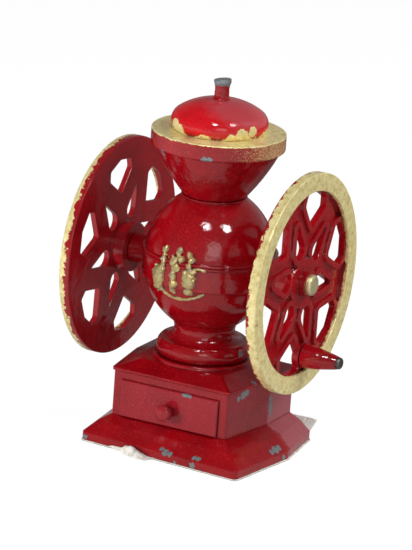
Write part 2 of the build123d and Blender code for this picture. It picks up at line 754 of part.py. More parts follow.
def drafted(plane, outline, depth, low_grow, high_grow):
    """Drafted block on the plane whose outline grows or shrinks from its root to its face."""
    with BuildPart() as block:
        with BuildSketch(plane):
            add(hull_of(outline, grow=low_grow))
        with BuildSketch(plane.offset(depth)):
            add(hull_of(outline, grow=high_grow))
        loft(ruled=True)
    return block.part


def around(outline, phase, from_x, depth, low_grow, high_grow):
    """One drafted block for each spoke space, turned to its place round the axle."""
    base = drafted(axle_plane.offset(from_x), outline, depth, low_grow, high_grow)
    axle = Axis((0, 0, axle_height), (1, 0, 0))
    return [base.rotate(axle, phase + index * step) for index in range(spoke_count)]


def opening_cutters(phase):
    """All twelve openings of one wheel, widening towards the wheel's face."""
    depth = web_thick + rib_rise
    with BuildPart() as cutters:
        add(around(window, phase, web_back, depth, 0.0, rib_draft))
        with BuildSketch(axle_plane.offset(web_back - 1.0)):
            Circle(wheel_inner_radius)
        extrude(amount=depth + 2.0, mode=Mode.INTERSECT)
        add(around(petal, phase + step / 2, web_back, depth, 0.0, rib_draft))
    return cutters.part


def raised_ribs(phase):
    """Ribs that follow every opening, drafted like the pattern they were cast from, and the hub disc."""
    root = web_back + web_thick - 0.4
    with BuildPart() as ribs:
        add(around(window, phase, root, rib_rise + 0.4, rib_width, rib_width - rib_draft))
        add(around(petal, phase + step / 2, root, rib_rise + 0.4, rib_width, rib_width - rib_draft))
        add(drafted(axle_plane.offset(root), [(0, 0, hub_disc_radius)], rib_rise + 0.4, 0.0, -rib_draft))
        with BuildSketch(axle_plane.offset(root)):
            Circle(wheel_inner_radius + 2.5)
        extrude(amount=rib_rise + 1.0, mode=Mode.INTERSECT)
    return ribs.part


def flywheel(phase):
    """Openwork cast flywheel on the +X side: deep rim, thin web, raised ribs, hub barrel and nose."""
    with BuildPart() as wheel:
        with BuildSketch(axle_plane.offset(web_back)):
            Circle(wheel_radius)
            Circle(wheel_inner_radius, mode=Mode.SUBTRACT)
        extrude(amount=rim_width)
        chamfer(wheel.edges().filter_by(GeomType.CIRCLE), 0.8)
        with BuildSketch(axle_plane.offset(web_back)):
            Circle(wheel_inner_radius + 2.5)
        extrude(amount=web_thick)
        add(raised_ribs(phase))
        add(opening_cutters(phase), mode=Mode.SUBTRACT)
        with BuildSketch(axle_plane.offset(wheel_hub_face)):
            Circle(hub_barrel_radius)
        extrude(amount=web_back - wheel_hub_face)
        with BuildSketch(axle_plane.offset(web_back)):
            Circle(hub_nose_radius)
        extrude(amount=hub_nose_end - web_back)
        with BuildSketch(axle_plane.offset(wheel_hub_face)):
            Circle(shaft_radius + slip_fit)
            with Locations((0, shaft_radius)):
                Rectangle(key_size + 2 * slip_fit, key_size + 2 * slip_fit)
        extrude(amount=hub_nose_end, mode=Mode.SUBTRACT)
    return wheel.part


handle_seat = rib_face + 0.4
with BuildPart() as flywheel_right:
    add(flywheel(right_phase))
    with BuildSketch(handle_plane.offset(web_back)):
        Circle(handle_boss_radius)
    extrude(amount=handle_seat - web_back)
    with BuildSketch(handle_plane.offset(web_back)):
        Circle(spindle_radius + slip_fit)
    extrude(amount=rim_width, mode=Mode.SUBTRACT)
write(flywheel_right.part, "flywheel_right")

with BuildPart() as flywheel_left:
    add(flywheel(left_phase))
    mirror(about=Plane.YZ, mode=Mode.REPLACE)
    with BuildSketch(axle_plane.offset(-(web_back + web_thick))):
        with PolarLocations(blank_boss_throw, 1, start_angle=blank_boss_angle):
            Circle(blank_boss_radius)
    extrude(amount=web_thick + blank_boss_height)
write(flywheel_left.part, "flywheel_left")

with BuildPart() as hub_nut:
    with BuildSketch(axle_plane.offset(-hub_nose_end)):
        RegularPolygon(hub_nut_radius, 6)
        Circle(0.75 * shaft_radius + slip_fit, mode=Mode.SUBTRACT)
    extrude(amount=-hub_nut_thick)
write(hub_nut.part, "hub_nut")

# ================================================================ crank handle
with BuildPart() as handle_spindle:
    spindle_end = handle_seat + handle_length + 2 * move_gap
    with BuildSketch(handle_plane.offset(web_back)):
        Circle(spindle_radius)
    extrude(amount=spindle_end - web_back)
    with BuildSketch(handle_plane.offset(spindle_end)):
        Circle(spindle_head_radius)
    extrude(amount=spindle_head)
    fillet(handle_spindle.faces().sort_by(Axis.X)[-1].edges(), 0.6 * spindle_head)
    with BuildSketch(handle_plane.offset(web_back)):
        Circle(2 * spindle_radius)
    extrude(amount=-0.5 * spindle_radius)
write(handle_spindle.part, "handle_spindle")

with BuildPart() as crank_handle:
    handle_start = handle_seat + move_gap
    handle_axis = Axis((0, handle_y, handle_z), (1, 0, 0))
    with BuildSketch(Plane.XY.offset(handle_z)):
        with BuildLine():
            low = handle_y + spindle_radius + run_fit
            root = Polyline((handle_start, low), (handle_start, handle_y + handle_root_radius - 1.0),
                            (handle_start + 1.0, handle_y + handle_root_radius))
            flank = ThreePointArc(root @ 1,
                                  (handle_start + 0.5 * handle_length,
                                   handle_y + (handle_root_radius + handle_tip_radius) / 2 + 0.6),
                                  (handle_start + handle_length, handle_y + handle_tip_radius))
            Polyline(flank @ 1, (handle_start + handle_length, low), root @ 0)
        make_face()
    revolve(axis=handle_axis)
write(crank_handle.part, "crank_handle")

# ================================================================ grinding gear
case_end_wall = 4.0
case_left = -(boss_inner_end + case_end_wall)
funnel_foot = Vector(-9.0, 0, axle_height + 20.0)
funnel_foot_radius = 18.0
case_outer = case_bore + case_wall
throat_outer = throat_bore - 2 * move_gap
with BuildPart() as feed_case:
    with BuildSketch(axle_plane.offset(case_left)):
        Circle(case_outer)
    extrude(amount=case_end - case_left)
    with BuildSketch(axle_plane.offset(case_end)):
        Circle(case_flange_radius)
    extrude(amount=case_flange)
    throat_top = throat_level - spigot_depth - move_gap
    for wall, operation in ((0.0, Mode.ADD), (case_wall, Mode.SUBTRACT)):
        with BuildSketch(Plane(origin=funnel_foot)):
            Circle(funnel_foot_radius - wall)
        with BuildSketch(Plane.XY.offset(throat_top)):
            Circle(throat_outer - wall)
        loft(mode=operation)
    with BuildSketch(axle_plane.offset(case_left + case_end_wall)):
        Circle(case_bore)
    extrude(amount=case_end + case_flange - case_left, mode=Mode.SUBTRACT)
    with BuildSketch(axle_plane.offset(case_left)):
        Circle(boss_radius + slip_fit)
    extrude(amount=case_end_wall, mode=Mode.SUBTRACT)
    with BuildSketch(axle_plane.offset(case_end)):
        with PolarLocations((case_bore + case_flange_radius) / 2, 3, start_angle=30):
            Circle(small_screw + slip_fit)
    extrude(amount=case_flange, mode=Mode.SUBTRACT)
write(feed_case.part, "feed_case")

# Feed screw that carries the beans into the eye of the fixed burr
worm_length = worm_pitch * worm_turns
with BuildPart() as feed_worm:
    with BuildSketch(axle_plane.offset(worm_start)):
        Circle(worm_core)
    extrude(amount=case_end + case_flange - worm_start)
    with BuildLine() as worm_path:
        helix = Helix(worm_pitch, worm_length, worm_core - 0.5, center=(worm_start + 2.5, 0, axle_height),
                      direction=(1, 0, 0))
    start = helix @ 0
    with BuildSketch(Plane(origin=start, z_dir=helix % 0, x_dir=(0, start.Y, start.Z - axle_height))):
        with Locations(((worm_radius - worm_core) / 2, 0)):
            Rectangle(worm_radius - worm_core + 0.5, worm_flight)
    sweep(path=worm_path.line, is_frenet=True)
    with BuildSketch(axle_plane.offset(worm_start)):
        Circle(shaft_radius + slip_fit)
    extrude(amount=2 * worm_length, mode=Mode.SUBTRACT)
    with BuildSketch(Plane.XZ):
        with Locations((worm_pin_x, axle_height)):
            Circle(cross_pin_radius + slip_fit)
    extrude(amount=worm_radius, both=True, mode=Mode.SUBTRACT)
write(feed_worm.part, "feed_worm")

with BuildPart() as worm_pin:
    with BuildSketch(Plane.XZ):
        with Locations((worm_pin_x, axle_height)):
            Circle(cross_pin_radius)
    extrude(amount=worm_core - 0.5, both=True)
write(worm_pin.part, "worm_pin")


def burr_grooves(inner, outer):
    """Plan of the grooves between the cutting teeth, swept back from the radius."""
    with BuildSketch() as grooves:
        with PolarLocations((inner + outer) / 2, burr_teeth):
            Rectangle(outer - inner + 2 * tooth_width, tooth_width, rotation=tooth_sweep)
        Circle(inner + 1.0, mode=Mode.SUBTRACT)
    return grooves.sketch


# Fixed burr, screwed to the flange of the feed case
burr_bolt_circle = (case_bore + case_flange_radius) / 2
with BuildPart() as fixed_burr:
    with BuildSketch(axle_plane.offset(case_end + case_flange)):
        Circle(burr_radius)
        Circle(burr_eye, mode=Mode.SUBTRACT)
    extrude(amount=fixed_burr_thick)
    with BuildSketch(axle_plane.offset(fixed_burr_face - tooth_depth)):
        add(burr_grooves(burr_eye, burr_radius))
    extrude(amount=2 * tooth_depth, mode=Mode.SUBTRACT)
    with BuildSketch(axle_plane.offset(case_end + case_flange)):
        with PolarLocations(burr_bolt_circle, 3, start_angle=30):
            Circle(small_screw + drill_play)
    extrude(amount=fixed_burr_thick, mode=Mode.SUBTRACT)
    with BuildSketch(axle_plane.offset(fixed_burr_face - 0.5 * fixed_burr_thick)):
        with PolarLocations(burr_bolt_circle, 3, start_angle=30):
            Circle(head_ratio * small_screw + drill_play)
    extrude(amount=fixed_burr_thick, mode=Mode.SUBTRACT)
write(fixed_burr.part, "fixed_burr")

with BuildPart() as burr_screws:
    seat_x = fixed_burr_face - 0.5 * fixed_burr_thick
    for place in PolarLocations(burr_bolt_circle, 3, start_angle=30):
        spot = axle_plane.offset(seat_x) * place
        seat = Plane(origin=spot.position, x_dir=(0, 1, 0), z_dir=(-1, 0, 0))
        add(screw(seat, small_screw, 0.5 * fixed_burr_thick + case_flange, head_ratio * small_screw, 1.4))
write(burr_screws.part, "burr_screws")

# Moving burr: toothed disc with a hub that is driven by the cross pin
with BuildPart() as moving_burr:
    with BuildSketch(axle_plane.offset(moving_burr_face)):
        Circle(burr_radius)
    extrude(amount=moving_burr_thick)
    with BuildSketch(axle_plane.offset(moving_burr_face + moving_burr_thick)):
        Circle(burr_hub_radius)
    extrude(amount=burr_hub_length, taper=3)
    with BuildSketch(axle_plane.offset(moving_burr_face)):
        add(burr_grooves(burr_eye, burr_radius))
    extrude(amount=tooth_depth, mode=Mode.SUBTRACT)
    with BuildSketch(axle_plane.offset(moving_burr_face)):
        Circle(shaft_radius + run_fit)
    extrude(amount=burr_radius, mode=Mode.SUBTRACT)
    with BuildSketch(Plane.XZ):
        with Locations((cross_pin_x, axle_height)):
            Circle(cross_pin_radius + slip_fit)
    extrude(amount=burr_radius, both=True, mode=Mode.SUBTRACT)
write(moving_burr.part, "moving_burr")

with BuildPart() as burr_pin:
    with BuildSketch(Plane.XZ):
        with Locations((cross_pin_x, axle_height)):
            Circle(cross_pin_radius)
    extrude(amount=burr_hub_radius - 2.0, both=True)
write(burr_pin.part, "burr_pin")

# Push rod between the regulating screw and the cross pin, and the spring behind the pin
rod_end = shaft_right - 22.0
screw_tip = rod_end + burr_travel + run_fit
with BuildPart() as push_rod:
    with BuildSketch(axle_plane.offset(cross_pin_x + cross_pin_radius)):
        Circle(rod_radius)
    extrude(amount=rod_end - cross_pin_x - cross_pin_radius)
write(push_rod.part, "push_rod")

spring_start = bore_end + burr_travel + 0.3
spring_end = cross_pin_x - cross_pin_radius
with BuildPart() as burr_spring:
    spring_radius = rod_bore - spring_wire / 2 - 0.35
    spring_length = spring_end - spring_start - spring_wire
    with BuildLine() as spring_path:
        coil = Helix(spring_length / spring_coils, spring_length, spring_radius,
                     center=(spring_start + spring_wire / 2, 0, axle_height), direction=(1, 0, 0))
    with BuildSketch(Plane(origin=coil @ 0, z_dir=coil % 0)):
        Circle(spring_wire / 2)
    sweep(path=spring_path.line, is_frenet=True)
write(burr_spring.part, "burr_spring")

# Regulating screw: a domed gilt head outside the hub and a stem that bears on the rod
with BuildPart() as adjusting_screw:
    head_back = shaft_right + move_gap
    with BuildSketch(axle_plane.offset(head_back)):
        Circle(adjuster_head_radius)
    extrude(amount=adjuster_head)
    fillet(adjusting_screw.faces().sort_by(Axis.X)[-1].edges(), 0.6 * adjuster_head)
    with BuildSketch(axle_plane.offset(screw_tip)):
        Circle(rod_bore - run_fit)
    extrude(amount=head_back - screw_tip)
write(adjusting_screw.part, "adjusting_screw")

# ================================================================ gilt relief on the ball
# Three budding sprigs in pots stand on a bowed stem, in two steps of relief that follow the ball
sprig_stem = 1.7        # half width of the thin stems
bow_half_span = 29.0
bow_low = -24.5         # the bowed stem's middle and ends, below the axle's height
bow_end = -17.0
sprig_foot = -23.0
relief_ends = (-32.0, 30.0)     # the relief's lowest and highest levels, from the axle's height

# hulls of one sprig, as circles: sideways, up from the axle's height, radius
bud = [(0, 21.5, 2.3), (0, 17.0, 3.1)]
neck = [(0, 17.0, sprig_stem), (0, 3.0, sprig_stem)]
leaf_left = [(0, 5.5, sprig_stem), (-4.2, 9.2, sprig_stem)]
leaf_right = [(0, 5.5, sprig_stem), (4.4, 8.2, sprig_stem)]
pot = [(-3.4, 0.6, 2.7), (3.4, 0.6, 2.7), (-2.7, -9.0, 2.7), (2.7, -9.0, 2.7)]
foot = [(-2.0, -14.6, 2.4), (2.0, -14.6, 2.4)]
stalk = [(0, -9.0, sprig_stem), (0, sprig_foot, sprig_stem)]


def facing(angle):
    """Upright plane half way out of the ball, turned to face out at the angle from -Y."""
    out = Plane(origin=(0, 0, axle_height), x_dir=(cos(radians(angle)), sin(radians(angle)), 0),
                z_dir=(sin(radians(angle)), -cos(radians(angle)), 0))
    return out.offset(ball_radius / 2)


def relief_layer(rise):
    """Thin shell that hugs the ball from just inside it to the given rise, as tall as the motif."""
    low, high = (axle_height + end for end in relief_ends)
    with BuildPart() as layer:
        with BuildSketch(Plane.XZ):
            with BuildLine():
                inner = ball_outline(-0.4 * ball_wall, low, high)
                outer = ball_outline(rise, low, high)
                Line(inner @ 0, outer @ 0)
                Line(inner @ 1, outer @ 1)
            make_face()
        revolve(axis=Axis.Z)
    return layer.part


def relief_step(hulls, grow, rise):
    """The hulls of all three sprigs raised out of the ball to one height."""
    with BuildPart() as raised:
        for angle in relief_angles:
            with BuildSketch(facing(angle)):
                for outline in hulls:
                    add(hull_of(outline, grow=grow))
            extrude(amount=ball_radius)
        add(relief_layer(rise), mode=Mode.INTERSECT)
    return raised.part


with BuildPart() as front_ornament:
    with BuildSketch(facing(sum(relief_angles) / len(relief_angles))):
        with BuildLine():
            ThreePointArc((-bow_half_span, bow_end), (0, bow_low), (bow_half_span, bow_end))
        trace(line_width=2 * sprig_stem)
    extrude(amount=ball_radius)
    add(relief_layer(relief_low_rise), mode=Mode.INTERSECT)
    add(relief_step([bud, neck, leaf_left, leaf_right, pot, foot, stalk], 0.0, relief_low_rise))
    add(relief_step([bud, pot, foot], -0.9, relief_high_rise))
    add(lower_casing.part, mode=Mode.SUBTRACT)
    add(upper_casing.part, mode=Mode.SUBTRACT)
write(front_ornament.part, "front_ornament")
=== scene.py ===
# %% [markdown]
# # A double-wheel coffee mill in old red enamel
#
# The mill is a set of iron castings, brushed with thick red enamel and touched up with pale gold paint.
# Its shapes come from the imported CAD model, which is loaded as a fixed frame.
# This script gives each casting its finish, sculpts the pieces that are too soft or ragged to be drawn as
# solids (the torn card under the foot and the gilt relief on the ball), and sets up the studio and camera.

# %% Load the frame
import bpy
import bmesh
import math
import random
from mathutils import Matrix, Vector, noise
from mathutils.bvhtree import BVHTree


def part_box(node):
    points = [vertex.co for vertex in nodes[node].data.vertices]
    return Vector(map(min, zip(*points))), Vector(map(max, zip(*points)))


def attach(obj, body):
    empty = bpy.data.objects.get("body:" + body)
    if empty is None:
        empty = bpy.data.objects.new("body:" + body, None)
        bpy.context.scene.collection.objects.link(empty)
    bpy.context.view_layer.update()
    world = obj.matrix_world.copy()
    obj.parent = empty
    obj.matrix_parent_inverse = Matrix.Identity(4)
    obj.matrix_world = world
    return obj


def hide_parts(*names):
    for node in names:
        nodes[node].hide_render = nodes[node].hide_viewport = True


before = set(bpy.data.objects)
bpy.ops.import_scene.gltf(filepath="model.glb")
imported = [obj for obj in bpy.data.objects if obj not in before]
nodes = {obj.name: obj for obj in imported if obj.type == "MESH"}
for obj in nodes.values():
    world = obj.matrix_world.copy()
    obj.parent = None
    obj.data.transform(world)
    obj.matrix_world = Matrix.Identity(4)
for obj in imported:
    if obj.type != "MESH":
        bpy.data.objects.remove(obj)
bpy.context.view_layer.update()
scene = bpy.context.scene

# %% [markdown]
# ## Levels that the paint follows
#
# Paint stops at edges, so the finishes need to know where the edges are.
# They are read from the boxes of the castings and kept in millimetres, because paint is thought of in
# millimetres. Blender works in metres; MM turns one into the other.

# %% Read the mill's main levels
MM = 0.001
wheel_low, wheel_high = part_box("flywheel_right")
axle_level = (wheel_low[2] + wheel_high[2]) / 2 / MM
wheel_radius = (wheel_high[2] - wheel_low[2]) / 2 / MM
hub_nose = 3.2           # how far the hub's nose stands out past the face of the rim
rim_depth = 18.0         # from the rim's outside to its inner edge
wheel_face = wheel_high[0] / MM - hub_nose
ring_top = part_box("hopper_rim")[1][2] / MM
lid_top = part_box("lid")[1][2] / MM
finial_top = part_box("lid_knob")[1][2] / MM
plate_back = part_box("base_plate")[1][1] / MM
pad_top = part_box("base_pad")[1][2] / MM
print("axle", round(axle_level, 1), "mm high, wheels", round(2 * wheel_radius, 1), "mm across")

# %% [markdown]
# ## Two helpers
#
# Paint colours are easiest to choose as sRGB hex values, the way a screen shows them.
# Shaders work in linear light, so one function converts them.
# The other adds a node with its settings and links, so that a recipe reads as a list of steps.

# %% Colour and node helpers
def linear(hex_colour):
    """sRGB hex such as '#A80F18' as linear RGBA."""
    channels = [int(hex_colour[i:i + 2], 16) / 255 for i in (1, 3, 5)]
    return tuple(c / 12.92 if c <= 0.04045 else ((c + 0.055) / 1.055) ** 2.4 for c in channels) + (1.0,)


def add(tree, kind, values=(), **settings):
    """Add one shader node. Settings are its properties. Values go into its sockets, in order or by name,
    and may be numbers, colours, sockets, or other nodes, which give their first output."""
    made = tree.nodes.new("ShaderNode" + kind)
    for name, value in settings.items():
        setattr(made, name, value)
    for key, value in (values.items() if isinstance(values, dict) else enumerate(values)):
        if isinstance(value, bpy.types.Node):
            value = next(out for out in value.outputs if out.enabled)
        if isinstance(value, bpy.types.NodeSocket):
            tree.links.new(value, made.inputs[key])
        else:
            made.inputs[key].default_value = value
    return made


print("signal red #A80F18 in linear light:", [round(c, 3) for c in linear("#A80F18")[:3]])


# %% [markdown]
# ## Starting a material
#
# Every finish is drawn in the casting's own space and in real millimetres, so the grain of the paint has the
# same size on each piece and stays put when the piece moves.

# %% An empty material with a surface point in millimetres
def start_finish(name):
    """A new material, its node tree, and the surface point in millimetres."""
    material = bpy.data.materials.new(name)
    material.use_nodes = True
    tree = material.node_tree
    tree.nodes.clear()
    place = add(tree, "TexCoord")
    point = add(tree, "VectorMath", {0: place.outputs["Object"], "Scale": 1 / MM}, operation="SCALE")
    return material, tree, point


def end_finish(tree, shader):
    """Send a shader to the material's output."""
    add(tree, "OutputMaterial", {"Surface": shader})


# %% [markdown]
# ## Ragged borders
#
# A brushed border is never straight. A cloud of noise with a known size in millimetres is centred on zero and
# stretched to a reach; added to a level or a radius, it pushes the border back and forth by that reach.

# %% Noise that pushes a border about
def wander(tree, point, size, reach):
    """A value that wanders by about reach millimetres either way, in patches of the given size."""
    patches = add(tree, "TexNoise", {"Vector": point, "Scale": 1 / size, "Detail": 4.0, "Roughness": 0.62})
    return add(tree, "MapRange", {"Value": patches, "From Min": 0.25, "From Max": 0.75,
                                  "To Min": -reach, "To Max": reach}, clamp=False)


def ragged_spots(tree, point, spots):
    """A mask of ragged spots, such as chips or daubs, each a centre and a radius in millimetres."""
    torn_edge = wander(tree, point, 3.0, 1.5)
    mask = None
    for centre, radius in spots:
        far = add(tree, "VectorMath", {0: point, 1: centre}, operation="DISTANCE")
        torn = add(tree, "Math", [far.outputs["Value"], torn_edge], operation="ADD")
        spot = add(tree, "MapRange", {"Value": torn, "From Min": radius, "From Max": radius + 0.5,
                                      "To Min": 1.0, "To Max": 0.0})
        mask = spot if mask is None else add(tree, "Math", [mask, spot], operation="MAXIMUM")
    return mask


# %% [markdown]
# ## Old red enamel
#
# The red is a thick oil enamel, brushed over sand-cast iron. It gives the eye three things: a deep red with
# painted shade in its corners, a wet gloss broken by brush sags and orange peel, and small pits from the
# mould.
# It could be one flat red with a bump, but then every casting would look freshly sprayed.
# So the colour comes in layers: two close reds in patches a thumb wide, dark flecks of dirt, pale dust, and a
# dark painted shade in the inside corners. Real dust is far finer; it is drawn a millimetre across so that it
# shows.

# %% The red of the coat
def red_coat(tree, point, flecks, deep, bright):
    """Colour of the enamel, between a deep and a bright red."""
    patches = add(tree, "TexNoise", {"Vector": point, "Scale": 1 / 26, "Detail": 5.0, "Roughness": 0.6})
    coat = add(tree, "Mix", {0: patches, 6: linear(deep), 7: linear(bright)}, data_type="RGBA")
    dirt = add(tree, "MapRange", {"Value": flecks, "From Min": 0.60, "From Max": 0.72, "To Max": 0.6})
    coat = add(tree, "Mix", {0: dirt, 6: coat, 7: linear("#3A0407")}, data_type="RGBA")
    grit = add(tree, "TexNoise", {"Vector": point, "Scale": 1 / 1.1, "Detail": 3.0, "Roughness": 0.7})
    dust = add(tree, "MapRange", {"Value": grit, "From Min": 0.61, "From Max": 0.69, "To Max": 0.55})
    coat = add(tree, "Mix", {0: dust, 6: coat, 7: linear("#C9636C")}, data_type="RGBA")
    # Painted shade: ambient occlusion darkens the red towards #3E0306 in inside corners, where shade falls.
    corners = add(tree, "AmbientOcclusion", {"Distance": 8 * MM}, samples=8)
    painted_corner_shade = add(tree, "MapRange", {"Value": corners.outputs["AO"], "From Min": 0.30, "From Max": 0.75,
                                    "To Min": 0.7, "To Max": 0.0})
    return add(tree, "Mix", {0: painted_corner_shade, 6: coat, 7: linear("#3E0306")}, data_type="RGBA")


# %% [markdown]
# ### Brush marks
#
# The skin of the coat is a height map for a Bump node, whose unit is 0.42 mm. Long sags where the paint ran
# matter most, then orange peel, then grit, and here and there a pit from the mould.
# Real orange peel is about a millimetre across; it is drawn three times as coarse so that it shows.

# %% The skin of the coat
skin_unit = 0.42


def brushed_skin(tree, point, flecks):
    """Height of the coat's surface, in skin units."""
    sags = add(tree, "TexNoise", {"Vector": point, "Scale": 1 / 14, "Detail": 2.0, "Roughness": 0.5})
    peel = add(tree, "TexNoise", {"Vector": point, "Scale": 1 / 3.2, "Detail": 2.0, "Roughness": 0.55})
    cells = add(tree, "TexVoronoi", {"Vector": point, "Scale": 1 / 9, "Randomness": 1.0}, feature="F1")
    pits = add(tree, "MapRange", {"Value": cells.outputs["Distance"], "From Min": 0.04, "From Max": 0.12,
                                  "To Min": -0.35, "To Max": 0.0})
    height = add(tree, "Math", [sags, 1.8, pits], operation="MULTIPLY_ADD")
    height = add(tree, "Math", [peel, 0.38, height], operation="MULTIPLY_ADD")
    return add(tree, "Math", [flecks, 0.12, height], operation="MULTIPLY_ADD")


print("one unit of skin is", skin_unit, "mm")


# %% [markdown]
# ### Gold paint
#
# The gold is bronze powder in varnish. It is laid thick, so it looks more like pale yellow paint than like
# metal, with darker patches where the powder settled.

# %% The colour of the gold
def gold_colour(tree, point):
    """Pale gold in patches of about six millimetres."""
    tone = add(tree, "TexNoise", {"Vector": point, "Scale": 1 / 6, "Detail": 6.0, "Roughness": 0.6})
    leaf = add(tree, "ValToRGB", [tone])
    dark, pale = leaf.color_ramp.elements
    dark.position, dark.color = 0.25, linear("#A38A4A")
    pale.position, pale.color = 0.60, linear("#F8E9AC")
    leaf.color_ramp.elements.new(0.37).color = linear("#DFCC84")
    return leaf


# %% [markdown]
# ### Layers of one casting
#
# One recipe serves every enamelled casting. It lays the red first, then rougher places whose paler pink is
# painted sheen, then what time did to it: gold paint on top, and bare grey iron where the coat was knocked or
# rubbed off. Each layer changes colour, gloss and height together, so that a chip looks like a hole and gold
# like a second coat.
# The gloss is a dielectric one, with the usual IOR of 1.5 and a roughness near 0.08.
# A Bevel node rounds the edges a little, as a thick coat does.

# %% Enamel recipe
def enamel(name, spots=(), gold=None, worn=None, sheen_and_dull=None, deep="#72000A", bright="#AE0712",
           softness=1.2):
    """Brushed red enamel. gold and worn give masks for gold and bare places, the third mask function gives
    rougher places painted a paler pink as painted sheen, spots are chips, and softness is the radius in
    millimetres to which the coat rounds the edges."""
    material, tree, point = start_finish(name)
    flecks = add(tree, "TexNoise", {"Vector": point, "Scale": 1 / 2.0, "Detail": 4.0, "Roughness": 0.7})
    coat = red_coat(tree, point, flecks, deep, bright)
    height = brushed_skin(tree, point, flecks)
    rough = add(tree, "Math", [flecks, 0.11, 0.02], operation="MULTIPLY_ADD")
    metallic = 0.0
    if sheen_and_dull is not None:
        # Painted sheen: these places are painted a paler pink #A4545C, and are also made rougher and lower.
        dull_sheen_mask = sheen_and_dull(tree, point)
        coat = add(tree, "Mix", {0: dull_sheen_mask, 6: coat, 7: linear("#A4545C")}, data_type="RGBA")
        rough = add(tree, "Math", [dull_sheen_mask, 0.3, rough], operation="MULTIPLY_ADD")
        height = add(tree, "Math", [dull_sheen_mask, -0.3, height], operation="MULTIPLY_ADD")
    if gold is not None:
        worn_through = add(tree, "MapRange", {"Value": flecks, "From Min": 0.62, "From Max": 0.70,
                                              "To Min": 1.0, "To Max": 0.3})
        painted = add(tree, "Math", [gold(tree, point), worn_through], operation="MULTIPLY")
        coat = add(tree, "Mix", {0: painted, 6: coat, 7: gold_colour(tree, point)}, data_type="RGBA")
        rough = add(tree, "Math", [painted, 0.22, rough], operation="MULTIPLY_ADD")
        metallic = add(tree, "Math", [painted, 0.3], operation="MULTIPLY")
        height = add(tree, "Math", [painted, 0.25, height], operation="MULTIPLY_ADD")
    bare = ragged_spots(tree, point, spots) if spots else None
    if worn is not None:
        rubbed = worn(tree, point)
        bare = rubbed if bare is None else add(tree, "Math", [bare, rubbed], operation="MAXIMUM")
    if bare is not None:
        iron = add(tree, "Mix", {0: flecks, 6: linear("#5F676B"), 7: linear("#A3A9AC")}, data_type="RGBA")
        coat = add(tree, "Mix", {0: bare, 6: coat, 7: iron}, data_type="RGBA")
        height = add(tree, "Math", [bare, -0.7, height], operation="MULTIPLY_ADD")
        rough = add(tree, "Math", [bare, 0.25, rough], operation="MULTIPLY_ADD")
        shown = add(tree, "Math", [bare, 0.5], operation="MULTIPLY")
        metallic = shown if metallic == 0.0 else add(tree, "Math", [shown, metallic], operation="MAXIMUM")
    soft_edge = add(tree, "Bevel", {"Radius": softness * MM}, samples=6)
    bump = add(tree, "Bump", {"Height": height, "Distance": skin_unit * MM, "Strength": 1.0,
                              "Normal": soft_edge})
    shader = add(tree, "BsdfPrincipled", {"Base Color": coat, "Metallic": metallic, "Roughness": rough,
                                          "IOR": 1.5, "Normal": bump})
    end_finish(tree, shader)
    print("made", name, "with", len(tree.nodes), "nodes")
    return material


# %% [markdown]
# ### Where the gold goes
#
# Gold paint was laid on by hand after the red. A mask could be painted as an image, but a border that is
# worked out from the casting's own radius stays sharp from any distance.
# On a wheel the gold covers the rim's face and most of its outside. It stops raggedly towards the back, where
# the brush couldn't reach, and each stop is a step in a radius or a depth whose border wanders.

# %% Gold on the wheels
def wheel_gold(back_edge):
    """A mask for one wheel. Gold on the rim's outside reaches back_edge millimetres back from its face."""
    def mask(tree, point):
        axes = add(tree, "SeparateXYZ", [point])
        up = add(tree, "Math", [axes.outputs["Z"], axle_level], operation="SUBTRACT")
        flat = add(tree, "CombineXYZ", {"Y": axes.outputs["Y"], "Z": up})
        radius = add(tree, "VectorMath", [flat], operation="LENGTH").outputs["Value"]
        out = add(tree, "Math", [axes.outputs["X"]], operation="ABSOLUTE")
        drift = wander(tree, point, 5.0, 1.0)
        reach = add(tree, "Math", [drift, 1.6, out], operation="MULTIPLY_ADD")
        around = add(tree, "MapRange", {"Value": radius, "From Min": wheel_radius - 1.4,
                                        "From Max": wheel_radius - 1.1})
        ragged = add(tree, "Math", [out, wander(tree, point, 7.0, 4.5)], operation="ADD")
        beyond = add(tree, "MapRange", {"Value": ragged, "From Min": wheel_face - back_edge,
                                        "From Max": wheel_face - back_edge + 0.8})
        outside = add(tree, "Math", [around, beyond], operation="MULTIPLY")
        inner = add(tree, "Math", [drift, 0.5, radius], operation="MULTIPLY_ADD")
        ring = add(tree, "MapRange", {"Value": inner, "From Min": wheel_radius - rim_depth - 0.5,
                                      "From Max": wheel_radius - rim_depth - 0.1})
        front = add(tree, "MapRange", {"Value": reach, "From Min": wheel_face - 3.6,
                                       "From Max": wheel_face - 2.8})
        face = add(tree, "Math", [ring, front], operation="MULTIPLY")
        return add(tree, "Math", [outside, face], operation="MAXIMUM")
    return mask


# %% [markdown]
# ### Gold on the ring and the lid
#
# The ring's flat top is gold all over. On one side the brush was nearly dry and dragged down over the ring's
# edge, which left grains of gold. The lid took a few smears on its foot by accident.

# %% Gold on the hopper's ring and on the lid's foot
def ring_gold(tree, point):
    """The flat top of the ring; on the side towards +X the brush ran dry down over its edge."""
    axes = add(tree, "SeparateXYZ", [point])
    level = add(tree, "Math", [axes.outputs["Z"], wander(tree, point, 5.0, 1.1)], operation="ADD")
    top = add(tree, "MapRange", {"Value": level, "From Min": ring_top - 1.6,
                                 "From Max": ring_top - 1.0})
    spill = add(tree, "MapRange", {"Value": axes.outputs["X"], "From Min": 26.0, "From Max": 70.0,
                                   "To Min": -0.25, "To Max": 0.7})
    grains = add(tree, "Math", [spill, wander(tree, point, 1.3, 0.55)], operation="ADD")
    dry = add(tree, "MapRange", {"Value": grains, "From Min": 0.3, "From Max": 0.7, "To Max": 0.55})
    return add(tree, "Math", [top, dry], operation="MAXIMUM")


